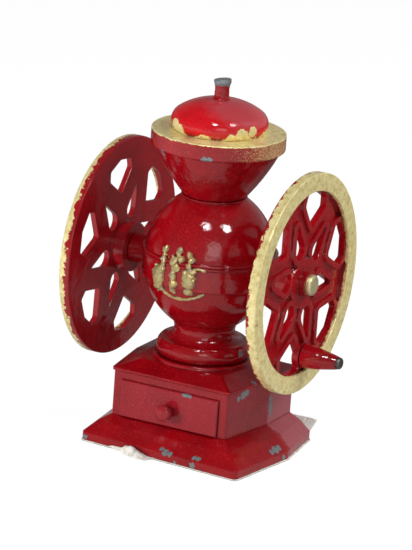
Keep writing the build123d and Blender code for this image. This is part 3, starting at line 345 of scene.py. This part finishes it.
def foot_gold(tree, point):
    """Smears of gold that climb the foot of the lid here and there."""
    axes = add(tree, "SeparateXYZ", [point])
    smears = wander(tree, point, 16.0, 8.0)
    level = add(tree, "Math", [axes.outputs["Z"], smears], operation="ADD")
    low = add(tree, "MapRange", {"Value": level, "From Min": ring_top + 2.5,
                                 "From Max": ring_top + 3.3, "To Min": 1.0, "To Max": 0.0})
    patches = ragged_spots(tree, point, [((-29, -38, 325), 7.5), ((-22, -42, 323), 6.0),
                                         ((38, -27, 325), 6.5), ((44, -16, 328), 5.0),
                                         ((30, -34, 322), 5.0)])
    return add(tree, "Math", [low, patches], operation="MAXIMUM")


# %% [markdown]
# ### Wear
#
# The finial is where fingers lift the lid, so its crown is rubbed to bare metal. The right-hand side of the
# foot and the lid are rougher, and the paler pink red laid on them there is painted sheen.

# %% Bare metal on the finial
def finial_wear(tree, point):
    """The worn crown of the lid's stub handle."""
    axes = add(tree, "SeparateXYZ", [point])
    level = add(tree, "Math", [axes.outputs["Z"], wander(tree, point, 3.0, 1.2)], operation="ADD")
    return add(tree, "MapRange", {"Value": level, "From Min": finial_top - 7.0,
                                  "From Max": finial_top - 6.2})


# %% Rough places with painted sheen
def sheen_dull_corner(tree, point):
    """A mask on the side towards +X, from the waist back, where the foot and box are rougher and painted a
    paler pink as painted sheen.
    """
    axes = add(tree, "SeparateXYZ", [point])
    back_edge = add(tree, "Math", [axes.outputs["Y"], wander(tree, point, 9.0, 5.0)], operation="ADD")
    behind = add(tree, "MapRange", {"Value": back_edge, "From Min": 3.0, "From Max": 7.0, "To Max": 0.8})
    beside = add(tree, "MapRange", {"Value": axes.outputs["X"], "From Min": 66.0, "From Max": 72.0})
    return add(tree, "Math", [behind, beside], operation="MULTIPLY")


def lid_sheen_dull(tree, point):
    """A mask on the lid's crown and its side towards +X, where the lid is rougher and painted a paler pink as
    painted sheen.
    """
    axes = add(tree, "SeparateXYZ", [point])
    lean = add(tree, "Math", [axes.outputs["X"], 0.35, axes.outputs["Z"]], operation="MULTIPLY_ADD")
    lean = add(tree, "Math", [lean, wander(tree, point, 12.0, 3.0)], operation="ADD")
    return add(tree, "MapRange", {"Value": lean, "From Min": lid_top - 7.0,
                                  "From Max": lid_top, "To Max": 0.5})


# %% [markdown]
# ### The enamelled castings
#
# Each casting gets its own copy of the recipe, because its chips are where that casting was knocked.
# A chip is a centre on the casting and a radius, both in millimetres, and two or three that overlap make one
# long flake. Most castings share one pair of reds. The box and the drawer have a lighter, pinker pair that is
# painted sheen, the lid a brighter pair that is painted light, and the left wheel a pair of its own.

# %% Enamel materials
finishes = {
    # On the foot and the box, the paler pink on the side towards +X, from the waist back, is painted sheen.
    "base_plate": enamel("enamel_foot", [((7, -88, 12.5), 2.2), ((12, -90, 10), 3.2), ((17, -91, 9.5), 2.6),
                                         ((45, -91, 12), 2.4), ((49, -91, 12), 2.8), ((24, -93, 3), 1.8),
                                         ((44, -94, 4), 3.0), ((98, -13, 13), 3.2), ((98, -20, 13), 4.2),
                                         ((98, -27, 12), 3.0), ((104, -12, 4), 2.6), ((-82, -84, 4), 2.4),
                                         ((99, 34, 4), 2.0)],
                         sheen_and_dull=sheen_dull_corner, softness=2.4),
    # The box's lighter, pinker reds are painted sheen.
    "drawer_housing": enamel("enamel_box", [((75, 8, 54), 3.0), ((75, 9, 48), 3.8), ((75, 10, 42), 3.4),
                                            ((75, 11, 37), 2.4), ((69, -34, 70), 3.4), ((68, -40, 68), 3.8),
                                            ((66, -47, 66), 2.6)],
                             sheen_and_dull=sheen_dull_corner, deep="#7C0A12", bright="#A41A25", softness=2.4),
    "box_cap": enamel("enamel_cap", [((70, -22, 77), 2.6), ((74, -27, 75), 1.8)], softness=2.4),
    # The drawer's lighter, pinker reds are painted sheen.
    "drawer_front": enamel("enamel_drawer", [((17, -68, 65), 2.2), ((20, -68, 65), 2.2),
                                             ((23, -68, 64), 1.6)],
                           deep="#840F18", bright="#A8222E", softness=1.8),
    "lower_casing": enamel("enamel_body", [((46, -8, 99), 3.4)]),
    "upper_casing": enamel("enamel_shoulder"),
    "hopper": enamel("enamel_hopper", [((-33, -51, 298), 2.0)]),
    "hopper_rim": enamel("enamel_ring", [((-52, -41, 311), 2.6), ((-58, -33, 305), 2.0),
                                         ((18, -64, 305), 2.6), ((23, -63, 305), 2.6),
                                         ((-30, -60, 304), 1.2)], gold=ring_gold),
    # The lid's brighter reds are painted light, and the paler pink on its crown and +X side is painted sheen.
    "lid": enamel("enamel_lid", gold=foot_gold, sheen_and_dull=lid_sheen_dull, deep="#AC000C", bright="#E41622"),
    "lid_knob": enamel("enamel_finial", worn=finial_wear),
    "flywheel_right": enamel("enamel_wheel_right", gold=wheel_gold(back_edge=9.4)),
    "flywheel_left": enamel("enamel_wheel_left", gold=wheel_gold(back_edge=5.5), deep="#7A0A12",
                            bright="#AA121C"),
}
finishes["drawer_knob"] = finishes["drawer_front"]
finishes["crank_handle"] = finishes["hopper"]

# %% [markdown]
# ## Bare metals
#
# Screws are old steel with patches of brownish tarnish; the drawer is tinned sheet and the bushes are bronze.
# The burrs and the feed tube stay as cast. Metals keep Blender's default IOR, and their look comes from
# colour, grain and roughness. Brushed metals get noise that is stretched along the axle.

# %% Bare metals
def metal(name, dark, light, roughness, grain, brushed=1.0):
    """Metal with patches of tarnish and fine grain; brushed stretches the grain along X."""
    material, tree, point = start_finish(name)
    stretched = add(tree, "VectorMath", {0: point, 1: (1 / brushed, 1.0, 1.0)}, operation="MULTIPLY")
    tarnish = add(tree, "TexNoise", {"Vector": point, "Scale": 1 / 12, "Detail": 5.0, "Roughness": 0.6})
    fine = add(tree, "TexNoise", {"Vector": stretched, "Scale": 1 / grain, "Detail": 4.0})
    colour = add(tree, "Mix", {0: tarnish, 6: linear(dark), 7: linear(light)}, data_type="RGBA")
    rough = add(tree, "MapRange", {"Value": fine, "To Min": roughness - 0.11, "To Max": roughness + 0.11})
    soft_edge = add(tree, "Bevel", {"Radius": 0.4 * MM}, samples=4)
    bump = add(tree, "Bump", {"Height": fine, "Distance": 0.12 * MM, "Strength": 0.8, "Normal": soft_edge})
    shader = add(tree, "BsdfPrincipled", {"Base Color": colour, "Metallic": 1.0, "Roughness": rough,
                                          "Normal": bump})
    end_finish(tree, shader)
    return material


turned_steel = metal("turned_steel", "#6E6E70", "#9A9A9C", 0.32, 0.8, brushed=6.0)
old_screw_steel = metal("old_screw_steel", "#5A5450", "#85807C", 0.42, 1.2)
tinned_sheet = metal("tinned_sheet", "#8E9092", "#B4B6B8", 0.38, 2.5, brushed=3.0)
bearing_bronze = metal("bearing_bronze", "#8A6334", "#B98C50", 0.36, 0.9)
bare_cast_iron = metal("bare_cast_iron", "#3A3A3C", "#5C5B5A", 0.58, 1.6)
print("made five bare metals")

# %% [markdown]
# ## Gilt paint
#
# The relief and the regulating screw carry the same pale gold paint as the wheels, rubbed to white metal on
# the high spots. In the hollows, red enamel and dirt show. Hollows are found by ambient occlusion, which is
# the share of the sky that a point on the surface sees.

# %% Gilt
def gilt(name, shade, tint, reach):
    """Gold paint over red; reach in millimetres sets how far away a hollow's walls may be."""
    material, tree, point = start_finish(name)
    tone = add(tree, "TexNoise", {"Vector": point, "Scale": 1 / 5, "Detail": 6.0, "Roughness": 0.65})
    leaf = add(tree, "Mix", {0: tone, 6: linear(shade), 7: linear(tint)}, data_type="RGBA")
    rub = add(tree, "TexNoise", {"Vector": point, "Scale": 1 / 7, "Detail": 3.0, "Roughness": 0.6})
    rubbed = add(tree, "MapRange", {"Value": rub, "From Min": 0.55, "From Max": 0.66, "To Max": 0.85})
    leaf = add(tree, "Mix", {0: rubbed, 6: leaf, 7: linear("#AEB0AC")}, data_type="RGBA")
    open_sky = add(tree, "AmbientOcclusion", {"Distance": reach * MM}, samples=8)
    torn = wander(tree, point, 2.4, 0.3)
    sky = add(tree, "Math", [open_sky.outputs["AO"], torn], operation="ADD")
    hollow = add(tree, "MapRange", {"Value": sky, "From Min": 0.36, "From Max": 0.5, "To Min": 1.0,
                                    "To Max": 0.0})
    coat = add(tree, "Mix", {0: hollow, 6: leaf, 7: linear("#6E1214")}, data_type="RGBA")
    grain = add(tree, "TexNoise", {"Vector": point, "Scale": 1 / 1.3, "Detail": 4.0, "Roughness": 0.6})
    rough = add(tree, "Math", [grain, 0.3, 0.2], operation="MULTIPLY_ADD")
    shine = add(tree, "MapRange", {"Value": hollow, "To Min": 0.7, "To Max": 0.0})
    bump = add(tree, "Bump", {"Height": grain, "Distance": 0.3 * MM, "Strength": 1.0})
    shader = add(tree, "BsdfPrincipled", {"Base Color": coat, "Metallic": shine, "Roughness": rough,
                                          "Normal": bump})
    end_finish(tree, shader)
    return material


relief_gilt = gilt("relief_gilt", "#8A7642", "#FBEAA8", 4.0)
screw_gilt = gilt("screw_gilt", "#C4B078", "#FBEFC0", 1.5)
print("made gilt for the relief and for the screw")

# %% [markdown]
# ## Card
#
# The mill stands on a pad of coarse white card. It is matt and fibrous, stained where it was handled, and its
# lowest half millimetre is darker grey.

# %% Card
torn_card, tree, point = start_finish("torn_card")
fibre = add(tree, "TexNoise", {"Vector": point, "Scale": 1 / 1.6, "Detail": 6.0, "Roughness": 0.7})
stain = add(tree, "TexNoise", {"Vector": point, "Scale": 1 / 9, "Detail": 4.0, "Roughness": 0.6})
card_tone = add(tree, "ValToRGB", [stain])
stained, clean = card_tone.color_ramp.elements
stained.position, stained.color = 0.30, linear("#CFC7B4")
clean.position, clean.color = 0.55, linear("#FBF9F2")
axes = add(tree, "SeparateXYZ", [point])
darker_low_edge = add(tree, "MapRange", {"Value": axes.outputs["Z"], "From Min": 0.45, "From Max": 0.75, "To Min": 0.8,
                               "To Max": 0.0})
card_tone = add(tree, "Mix", {0: darker_low_edge, 6: card_tone, 7: linear("#5D5A50")}, data_type="RGBA")
card_bump = add(tree, "Bump", {"Height": fibre, "Distance": 0.5 * MM, "Strength": 1.0})
end_finish(tree, add(tree, "BsdfPrincipled", {"Base Color": card_tone, "Roughness": 0.9,
                                              "Normal": card_bump}))
print("made torn card, grey along its lowest half millimetre")

# %% [markdown]
# ## Handing out the finishes
#
# Turned parts are bright steel, fasteners are old steel, and the rest follows what each piece does.
# Every node's own slots are emptied first, so that nothing keeps its plain CAD colour.

# %% Give each plain node its finish
for name in ("axle_shaft", "push_rod", "burr_pin", "worm_pin", "burr_spring"):
    finishes[name] = turned_steel
for name in ("tie_bolts", "rail_screws", "casing_screws", "burr_screws", "drawer_knob_screw", "lid_nut",
             "hub_nut", "wheel_keys", "handle_spindle"):
    finishes[name] = old_screw_steel
for name in ("drawer_tray", "drawer_rail_left", "drawer_rail_right"):
    finishes[name] = tinned_sheet
for name in ("bush_left", "bush_right"):
    finishes[name] = bearing_bronze
for name in ("feed_case", "feed_worm", "fixed_burr", "moving_burr"):
    finishes[name] = bare_cast_iron
finishes["adjusting_screw"] = screw_gilt
finishes["front_ornament"] = relief_gilt
finishes["base_pad"] = torn_card
for name, node in nodes.items():
    node.data.materials.clear()
    node.data.materials.append(finishes[name])
print("finished", len(finishes), "nodes")

# %% [markdown]
# ## The torn card
#
# Under the foot lies a sheet cut roughly to the plate's outline. At the front and at the back it was torn,
# and the tongues that are left have curled up.
# The plate's outline is read from the CAD node: its lowest points, taken round as a convex ring.

# %% The plate's outline, grown or pulled in by a hair
def lowest_ring(node, inset):
    """Convex outline of a node's lowest points as (x, y), pulled in towards the middle by inset, or out
    where inset is negative."""
    corners = [node.matrix_world @ v.co for v in node.data.vertices]
    bottom = min(c.z for c in corners)
    flat = sorted({(round(c.x, 5), round(c.y, 5)) for c in corners if c.z < bottom + 0.1 * MM})
    ring = []
    for run in (flat, flat[::-1]):
        side = []
        for p in run:
            while len(side) > 1 and ((side[-1][0] - side[-2][0]) * (p[1] - side[-2][1])
                                     <= (side[-1][1] - side[-2][1]) * (p[0] - side[-2][0])):
                side.pop()
            side.append(p)
        ring += side[:-1]
    return [(x * (1 - inset / math.hypot(x, y)), y * (1 - inset / math.hypot(x, y))) for x, y in ring]


def piece(name, mesh_builder, material, body):
    """A mesh object made from a bmesh, with smooth faces, that rides on a CAD body."""
    mesh = bpy.data.meshes.new(name)
    mesh_builder.to_mesh(mesh)
    mesh_builder.free()
    mesh.polygons.foreach_set("use_smooth", [True] * len(mesh.polygons))
    mesh.materials.append(material)
    made = bpy.data.objects.new(name, mesh)
    scene.collection.objects.link(made)
    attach(made, body)
    return made


# %% [markdown]
# ### The sheet
#
# The ring is walked in short steps, each pushed in or out a little by noise, because card that is cut by hand
# has no straight edge. The outline is then raised to the pad's thickness.

# %% The sheet
card_thick = (pad_top - 0.02) * MM
ring = lowest_ring(nodes["base_plate"], -1.1 * MM)
edge = []
for (x0, y0), (x1, y1) in zip(ring, ring[1:] + ring[:1]):
    steps = max(1, round(math.hypot(x1 - x0, y1 - y0) / (1.5 * MM)))
    edge += [(x0 + (x1 - x0) * i / steps, y0 + (y1 - y0) * i / steps) for i in range(steps)]
sheet = bmesh.new()
rim = []
for x, y in edge:
    ragged = 1 + 0.006 * noise.noise(Vector((x, y, 0)) / (5 * MM)) \
        + 0.003 * noise.noise(Vector((x, y, 1)) / MM)
    rim.append(sheet.verts.new((x * ragged, y * ragged, 0.0)))
under = sheet.faces.new(rim[::-1])
raised = bmesh.ops.extrude_face_region(sheet, geom=[under])["geom"]
upper = [v for v in raised if isinstance(v, bmesh.types.BMVert)]
bmesh.ops.translate(sheet, verts=upper, vec=(0, 0, card_thick))
bmesh.ops.recalc_face_normals(sheet, faces=sheet.faces)
card_sheet = piece("card_sheet", sheet, torn_card, "frame")
card_sheet.data.polygons.foreach_set("use_smooth", [False] * len(card_sheet.data.polygons))
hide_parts("base_pad")
print("card sheet with", len(edge), "points round its edge")


# %% [markdown]
# ### Curled tongues
#
# A tongue is a strip of rows between the plate's edge and the torn edge. Its reach and its curl change along
# it, between a few listed stations. Fine noise crumples it, and a Solidify modifier makes it card-thick.

# %% Tongues
def between(stations, x):
    """Reach and curl at x, read smoothly between stations given as (x, reach, curl) in millimetres."""
    for (x0, *low), (x1, *high) in zip(stations, stations[1:]):
        if x <= x1:
            share = (x - x0) / (x1 - x0)
            share = share * share * (3 - 2 * share)
            return [a + (b - a) * share for a, b in zip(low, high)]
    return list(stations[-1][1:])


def tongue(name, stations, root, forward, profile, crumple):
    """A torn strip of card. root(x) is the y of the plate's edge, forward is -1 or 1, and profile(t) is the
    share of the curl that the strip has risen to at the share t of its reach."""
    columns, rows = 56, 20
    strip = bmesh.new()
    grid = []
    for i in range(columns + 1):
        x = stations[0][0] + (stations[-1][0] - stations[0][0]) * i / columns
        reach, curl = between(stations, x)
        reach += 1.2 * noise.noise(Vector((x / 2.4, 7, 0)))
        line = []
        for j in range(rows + 1):
            t = j / rows
            wrinkle = crumple * t * noise.noise(Vector((x / 3.6, t * 3.0, 2))) \
                + 0.5 * crumple * t * noise.noise(Vector((x / 1.5, t * 7.0, 5)))
            height = 0.75 + curl * profile(t) + max(wrinkle, -curl * profile(t))
            line.append(strip.verts.new((x * MM, (root(x) + forward * (reach * t - 2.0)) * MM, height * MM)))
        grid.append(line)
    for left, right in zip(grid, grid[1:]):
        for j in range(rows):
            strip.faces.new((left[j], right[j], right[j + 1], left[j + 1]))
    bmesh.ops.recalc_face_normals(strip, faces=strip.faces)
    made = piece(name, strip, torn_card, "frame")
    thick = made.modifiers.new("thickness", "SOLIDIFY")
    thick.thickness = 0.7 * MM
    thick.offset = 0.0
    return made


front_left = min(ring, key=lambda p: 2 * p[1] + p[0])
front_right = min(ring, key=lambda p: 2 * p[1] - p[0])
front_slope = (front_right[1] - front_left[1]) / (front_right[0] - front_left[0])
tongue("torn_tongue_front",
       [(-55, 1.5, 0.6), (-46, 4.0, 2.0), (-38, 6.0, 2.6), (-31, 10.0, 6.8), (-23, 13.0, 7.6),
        (-15, 13.5, 4.0), (-7, 13.0, 1.0), (0, 3.5, 0.2)],
       lambda x: front_left[1] / MM + front_slope * (x - front_left[0] / MM), -1,
       lambda t: math.sin(math.pi * min(1.0, t)) ** 0.7, 1.7)
tongue("torn_tongue_back",
       [(50, 24.0, 12.0), (54, 26.0, 12.6), (82, 26.0, 13.0), (89, 25.5, 12.4)],
       lambda x: plate_back, 1, lambda t: t ** 1.2, 0.25)
print("two curled tongues of card")

# %% [markdown]
# ## The gilt relief
#
# The relief on the ball was modelled by hand in wax before it was cast, so it is all soft lumps.
# It is built the same way: lumps are pressed on the ball, and a Remesh modifier melts them into one skin.
# Each lump is placed by sending a ray at the ball from the front and turned to lie flat on it.
# The motif is a plain one: three budding sprigs, the outer two in pots, on a bowed stem.

# %% Lay the lumps on the ball
ball = bmesh.new()
for name in ("lower_casing", "upper_casing"):
    casting = bmesh.new()
    casting.from_mesh(nodes[name].data)
    casting.transform(nodes[name].matrix_world)
    held = bpy.data.meshes.new("held")
    casting.to_mesh(held)
    casting.free()
    ball.from_mesh(held)
    bpy.data.meshes.remove(held)
ball_skin = BVHTree.FromBMesh(ball)
print("the ball has", len(ball.faces), "faces to press on")
ball.free()


def press(wax, sideways, up, half_width, half_height, rise, fuller=1.0):
    """Press an egg-shaped lump on the ball; places are in millimetres from the axle's level, seen from -Y."""
    start = Vector((sideways * MM, -1.0, (axle_level + up) * MM))
    hit, normal, _, _ = ball_skin.ray_cast(start, Vector((0, 1, 0)))
    across = Vector((0, 0, 1)).cross(normal).normalized()
    over = normal.cross(across)
    turn = Matrix((across, over, normal)).transposed().to_4x4()
    size = Matrix.Diagonal((fuller * half_width * MM, fuller * half_height * MM, fuller * rise * MM, 1.0))
    bmesh.ops.create_icosphere(wax, subdivisions=3, radius=1.0, matrix=Matrix.Translation(hit) @ turn @ size)


def press_stem(wax, start, middle, end, half_width, rise):
    """A row of small lumps along a bowed line given by its start, middle and end."""
    count = 26
    for i in range(count + 1):
        t = i / count
        sideways, up = ((1 - t) * (1 - 2 * t) * a + 4 * t * (1 - t) * b + t * (2 * t - 1) * c
                        for a, b, c in zip(start, middle, end))
        swell = 1 + 0.25 * noise.noise(Vector((sideways / 4, up / 4, 3)))
        press(wax, sideways, up, half_width * swell, half_width * swell, rise)


# %% [markdown]
# ### Sprigs, pots and stem
#
# Each lump is a place on the ball, a half width, a half height and a rise. A few crumbs round each lump, all
# from one seeded list of random numbers, stand for wax that was pushed about.
# Remesh melts the lumps together, Smooth takes off the voxel steps, and Displace kneads the skin.

# %% Press the motif and melt it
left_sprig = [(-17.4, 24.5, 2.7, 3.4, 3.6), (-17.8, 18.5, 2.2, 2.8, 2.8), (-17.0, 13.5, 2.4, 2.6, 3.4),
              (-18.6, 9.0, 2.0, 3.0, 2.2), (-22.0, 3.5, 5.6, 4.6, 4.8), (-22.8, -4.5, 6.2, 7.5, 4.4),
              (-22.6, -11.5, 4.8, 4.2, 3.8), (-20.8, -16.0, 3.2, 2.4, 2.6), (-25.6, 2.0, 3.2, 4.0, 3.4)]
middle_sprig = [(-0.9, 26.5, 2.7, 3.6, 3.4), (-1.4, 22.0, 2.0, 2.6, 2.6), (1.8, 18.8, 3.7, 2.9, 4.4),
                (-5.2, 15.6, 3.4, 4.6, 3.6), (-2.4, 9.8, 3.6, 3.2, 4.0), (-5.2, 1.0, 2.8, 7.4, 3.2),
                (-4.2, -7.0, 3.9, 3.4, 4.2), (-6.0, -13.6, 2.9, 3.0, 3.0)]
right_sprig = [(10.2, 23.4, 2.5, 3.1, 3.4), (12.2, 18.2, 2.6, 2.4, 3.0), (11.4, 13.8, 2.6, 2.6, 3.0),
               (14.8, 8.4, 4.0, 2.4, 4.6), (11.8, 1.5, 6.4, 6.0, 4.2), (11.6, -4.0, 5.8, 5.0, 4.6),
               (11.0, -12.6, 4.4, 3.0, 3.2), (7.6, 5.5, 2.4, 3.4, 3.0)]
wax = bmesh.new()
for lump in left_sprig + middle_sprig + right_sprig:
    press(wax, *lump, fuller=1.15)
chance = random.Random(7)
for lump in (left_sprig + middle_sprig + right_sprig) * 3:
    crumb = chance.uniform(0.9, 1.8)
    sideways = lump[0] + chance.uniform(-1.1, 1.1) * lump[2]
    up = lump[1] + chance.uniform(-1.1, 1.1) * lump[3]
    press(wax, sideways, up, crumb, crumb * chance.uniform(0.8, 1.6), crumb + 0.6 * lump[4])
press_stem(wax, (-17.0, -18.6), (3.5, -22.6), (25.0, -14.2), 1.7, 1.9)
press_stem(wax, (15.0, 10.0), (20.5, 12.0), (27.0, 10.6), 1.2, 1.5)
sprig_relief = piece("sprig_relief", wax, relief_gilt, "frame")
melt = sprig_relief.modifiers.new("melt", "REMESH")
melt.mode = "VOXEL"
melt.voxel_size = 0.45 * MM
melt.use_smooth_shade = True
smooth = sprig_relief.modifiers.new("smooth", "SMOOTH")
smooth.factor = 0.5
smooth.iterations = 2
hammer = bpy.data.textures.new("wax_marks", "CLOUDS")
hammer.noise_scale = 2.2 * MM
knead = sprig_relief.modifiers.new("knead", "DISPLACE")
knead.texture = hammer
knead.texture_coords = "LOCAL"
knead.strength = 1.8 * MM
knead.mid_level = 0.5
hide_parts("front_ornament")
print("pressed", len(left_sprig + middle_sprig + right_sprig), "lumps and two stems")

# %% [markdown]
# ## Studio
#
# The mill stands on a white sheet. To the camera the sheet is pure white, and it still takes the mill's faint
# shadow. In reflections it fades towards the back, where the room behind the mill is dimmer.

# %% Floor
floor_mesh = bpy.data.meshes.new("floor")
floor_mesh.from_pydata([(-6, -6, 0), (6, -6, 0), (6, 6, 0), (-6, 6, 0)], [], [(0, 1, 2, 3)])
floor = bpy.data.objects.new("floor", floor_mesh)
scene.collection.objects.link(floor)
white_sheet, tree, point = start_finish("white_sheet")
light_path = add(tree, "LightPath")
seen = add(tree, "Math", [light_path.outputs["Is Camera Ray"], light_path.outputs["Is Glossy Ray"]],
           operation="MAXIMUM")
seen = add(tree, "Math", [seen, light_path.outputs["Is Transmission Ray"]], operation="MAXIMUM")
sheet_white = add(tree, "BsdfDiffuse", {"Color": linear("#E6E6E6")})
axes = add(tree, "SeparateXYZ", [point])
mirrored = add(tree, "MapRange", {"Value": axes.outputs["Y"], "From Min": -700.0, "From Max": 450.0,
                                  "To Min": 0.9, "To Max": 0.03})
shine = add(tree, "Mix", {0: light_path.outputs["Is Camera Ray"], 2: mirrored, 3: 0.94})
glow = add(tree, "Emission", {"Color": (1.0, 1.0, 1.0, 1.0), "Strength": shine})
faint = add(tree, "BsdfDiffuse", {"Color": linear("#5E5E5E")})
bright_sheet = add(tree, "AddShader", [glow, faint])
end_finish(tree, add(tree, "MixShader", [seen, sheet_white, bright_sheet]))
floor_mesh.materials.append(white_sheet)
print("laid a white sheet twelve metres square")

# %% [markdown]
# ### Sky and lamps
#
# The camera sees plain white all round. Everything else sees a room that is bright low down and dim overhead,
# which is what gives round enamel a dark crown and pale flanks, and it is brighter on the right.
# Two small lamps high up show only as the pair of sharp highlights on the ball, and a fill beside them gives
# their light. A dim panel by the camera makes the soft highlight below them, and fills from the left and from
# behind light the gold on the wheels.

# %% World
world = bpy.data.worlds.new("studio")
scene.world = world
world.use_nodes = True
tree = world.node_tree
tree.nodes.clear()
light_path = add(tree, "LightPath")
direction = add(tree, "TexCoord")
axes = add(tree, "SeparateXYZ", [direction.outputs["Generated"]])
room = add(tree, "MapRange", {"Value": axes.outputs["Z"], "From Min": 0.0, "From Max": 0.75, "To Min": 0.46,
                              "To Max": 0.16})
side = add(tree, "MapRange", {"Value": axes.outputs["X"], "From Min": -0.8, "From Max": 0.9, "To Min": 0.4,
                              "To Max": 1.4})
room = add(tree, "Math", [room, side], operation="MULTIPLY")
strength = add(tree, "Mix", {0: light_path.outputs["Is Camera Ray"], 2: room, 3: 1.0})
sky = add(tree, "Background", {"Color": (1.0, 1.0, 1.0, 1.0), "Strength": strength})
add(tree, "OutputWorld", {"Surface": sky})
print("room light falls from 0.46 low down to 0.16 overhead")


# %% Lamps
def lamp(name, place, size, power, mirrored=True, lights=True):
    """Square lamp that faces the mill; place and size are in metres, power in watts. A lamp that isn't
    mirrored lights the mill without showing as a highlight; one that doesn't light only shows as one."""
    data = bpy.data.lights.new(name, "AREA")
    data.size = size
    data.energy = power
    made = bpy.data.objects.new(name, data)
    made.location = place
    made.rotation_euler = (Vector((0, 0, 0.2)) - Vector(place)).to_track_quat("-Z", "Y").to_euler()
    made.visible_glossy = mirrored
    made.visible_diffuse = lights
    scene.collection.objects.link(made)


lamp("high_sparkle", (0.22, -1.19, 2.05), 0.26, 20, lights=False)
lamp("high_right_sparkle", (1.23, -0.48, 1.96), 0.24, 16, lights=False)
lamp("high_fill", (0.6, -1.0, 2.05), 0.4, 8, mirrored=False)
lamp("front_panel", (1.15, -1.95, 1.05), 0.9, 6)
lamp("left_fill", (-1.5, -1.8, 0.7), 0.9, 40, mirrored=False)
lamp("back_right_fill", (1.5, 0.9, 1.8), 1.2, 32, mirrored=False)


# %% [markdown]
# ## Camera
#
# A long lens from about four metres away, a little above the mill, keeps its uprights nearly parallel.
# The camera stands 26 degrees round to the mill's right and is tipped 4 degrees about its own axis.

# %% Place the camera
view_azimuth, view_height, view_roll = math.radians(26.55), math.radians(18.48), math.radians(4.22)
view_distance = 4.3465
aim = Vector((-2.2 * MM, -1.1 * MM, 169.5 * MM))
level = math.cos(view_height)
back = Vector((math.sin(view_azimuth) * level, -math.cos(view_azimuth) * level, math.sin(view_height)))
camera_data = bpy.data.cameras.new("camera")
camera_data.sensor_width = 36
camera_data.lens = 283
camera_data.clip_start, camera_data.clip_end = 0.1, 50
camera = bpy.data.objects.new("camera", camera_data)
scene.collection.objects.link(camera)
place = back * view_distance
away = (place - aim).normalized()
right = Vector((0, 0, 1)).cross(away).normalized()
up = away.cross(right)
rolled_right = right * math.cos(view_roll) + up * math.sin(view_roll)
rolled_up = up * math.cos(view_roll) - right * math.sin(view_roll)
camera.matrix_world = Matrix((rolled_right, rolled_up, away)).transposed().to_4x4()
camera.location = place
scene.camera = camera
print("camera", [round(v, 3) for v in place], "aims at", [round(v, 4) for v in aim])

# %% [markdown]
# ## Finish
#
# The view transform is plain, so that colours render as they are written.

# %% Finish
scene.view_settings.view_transform = "Standard"
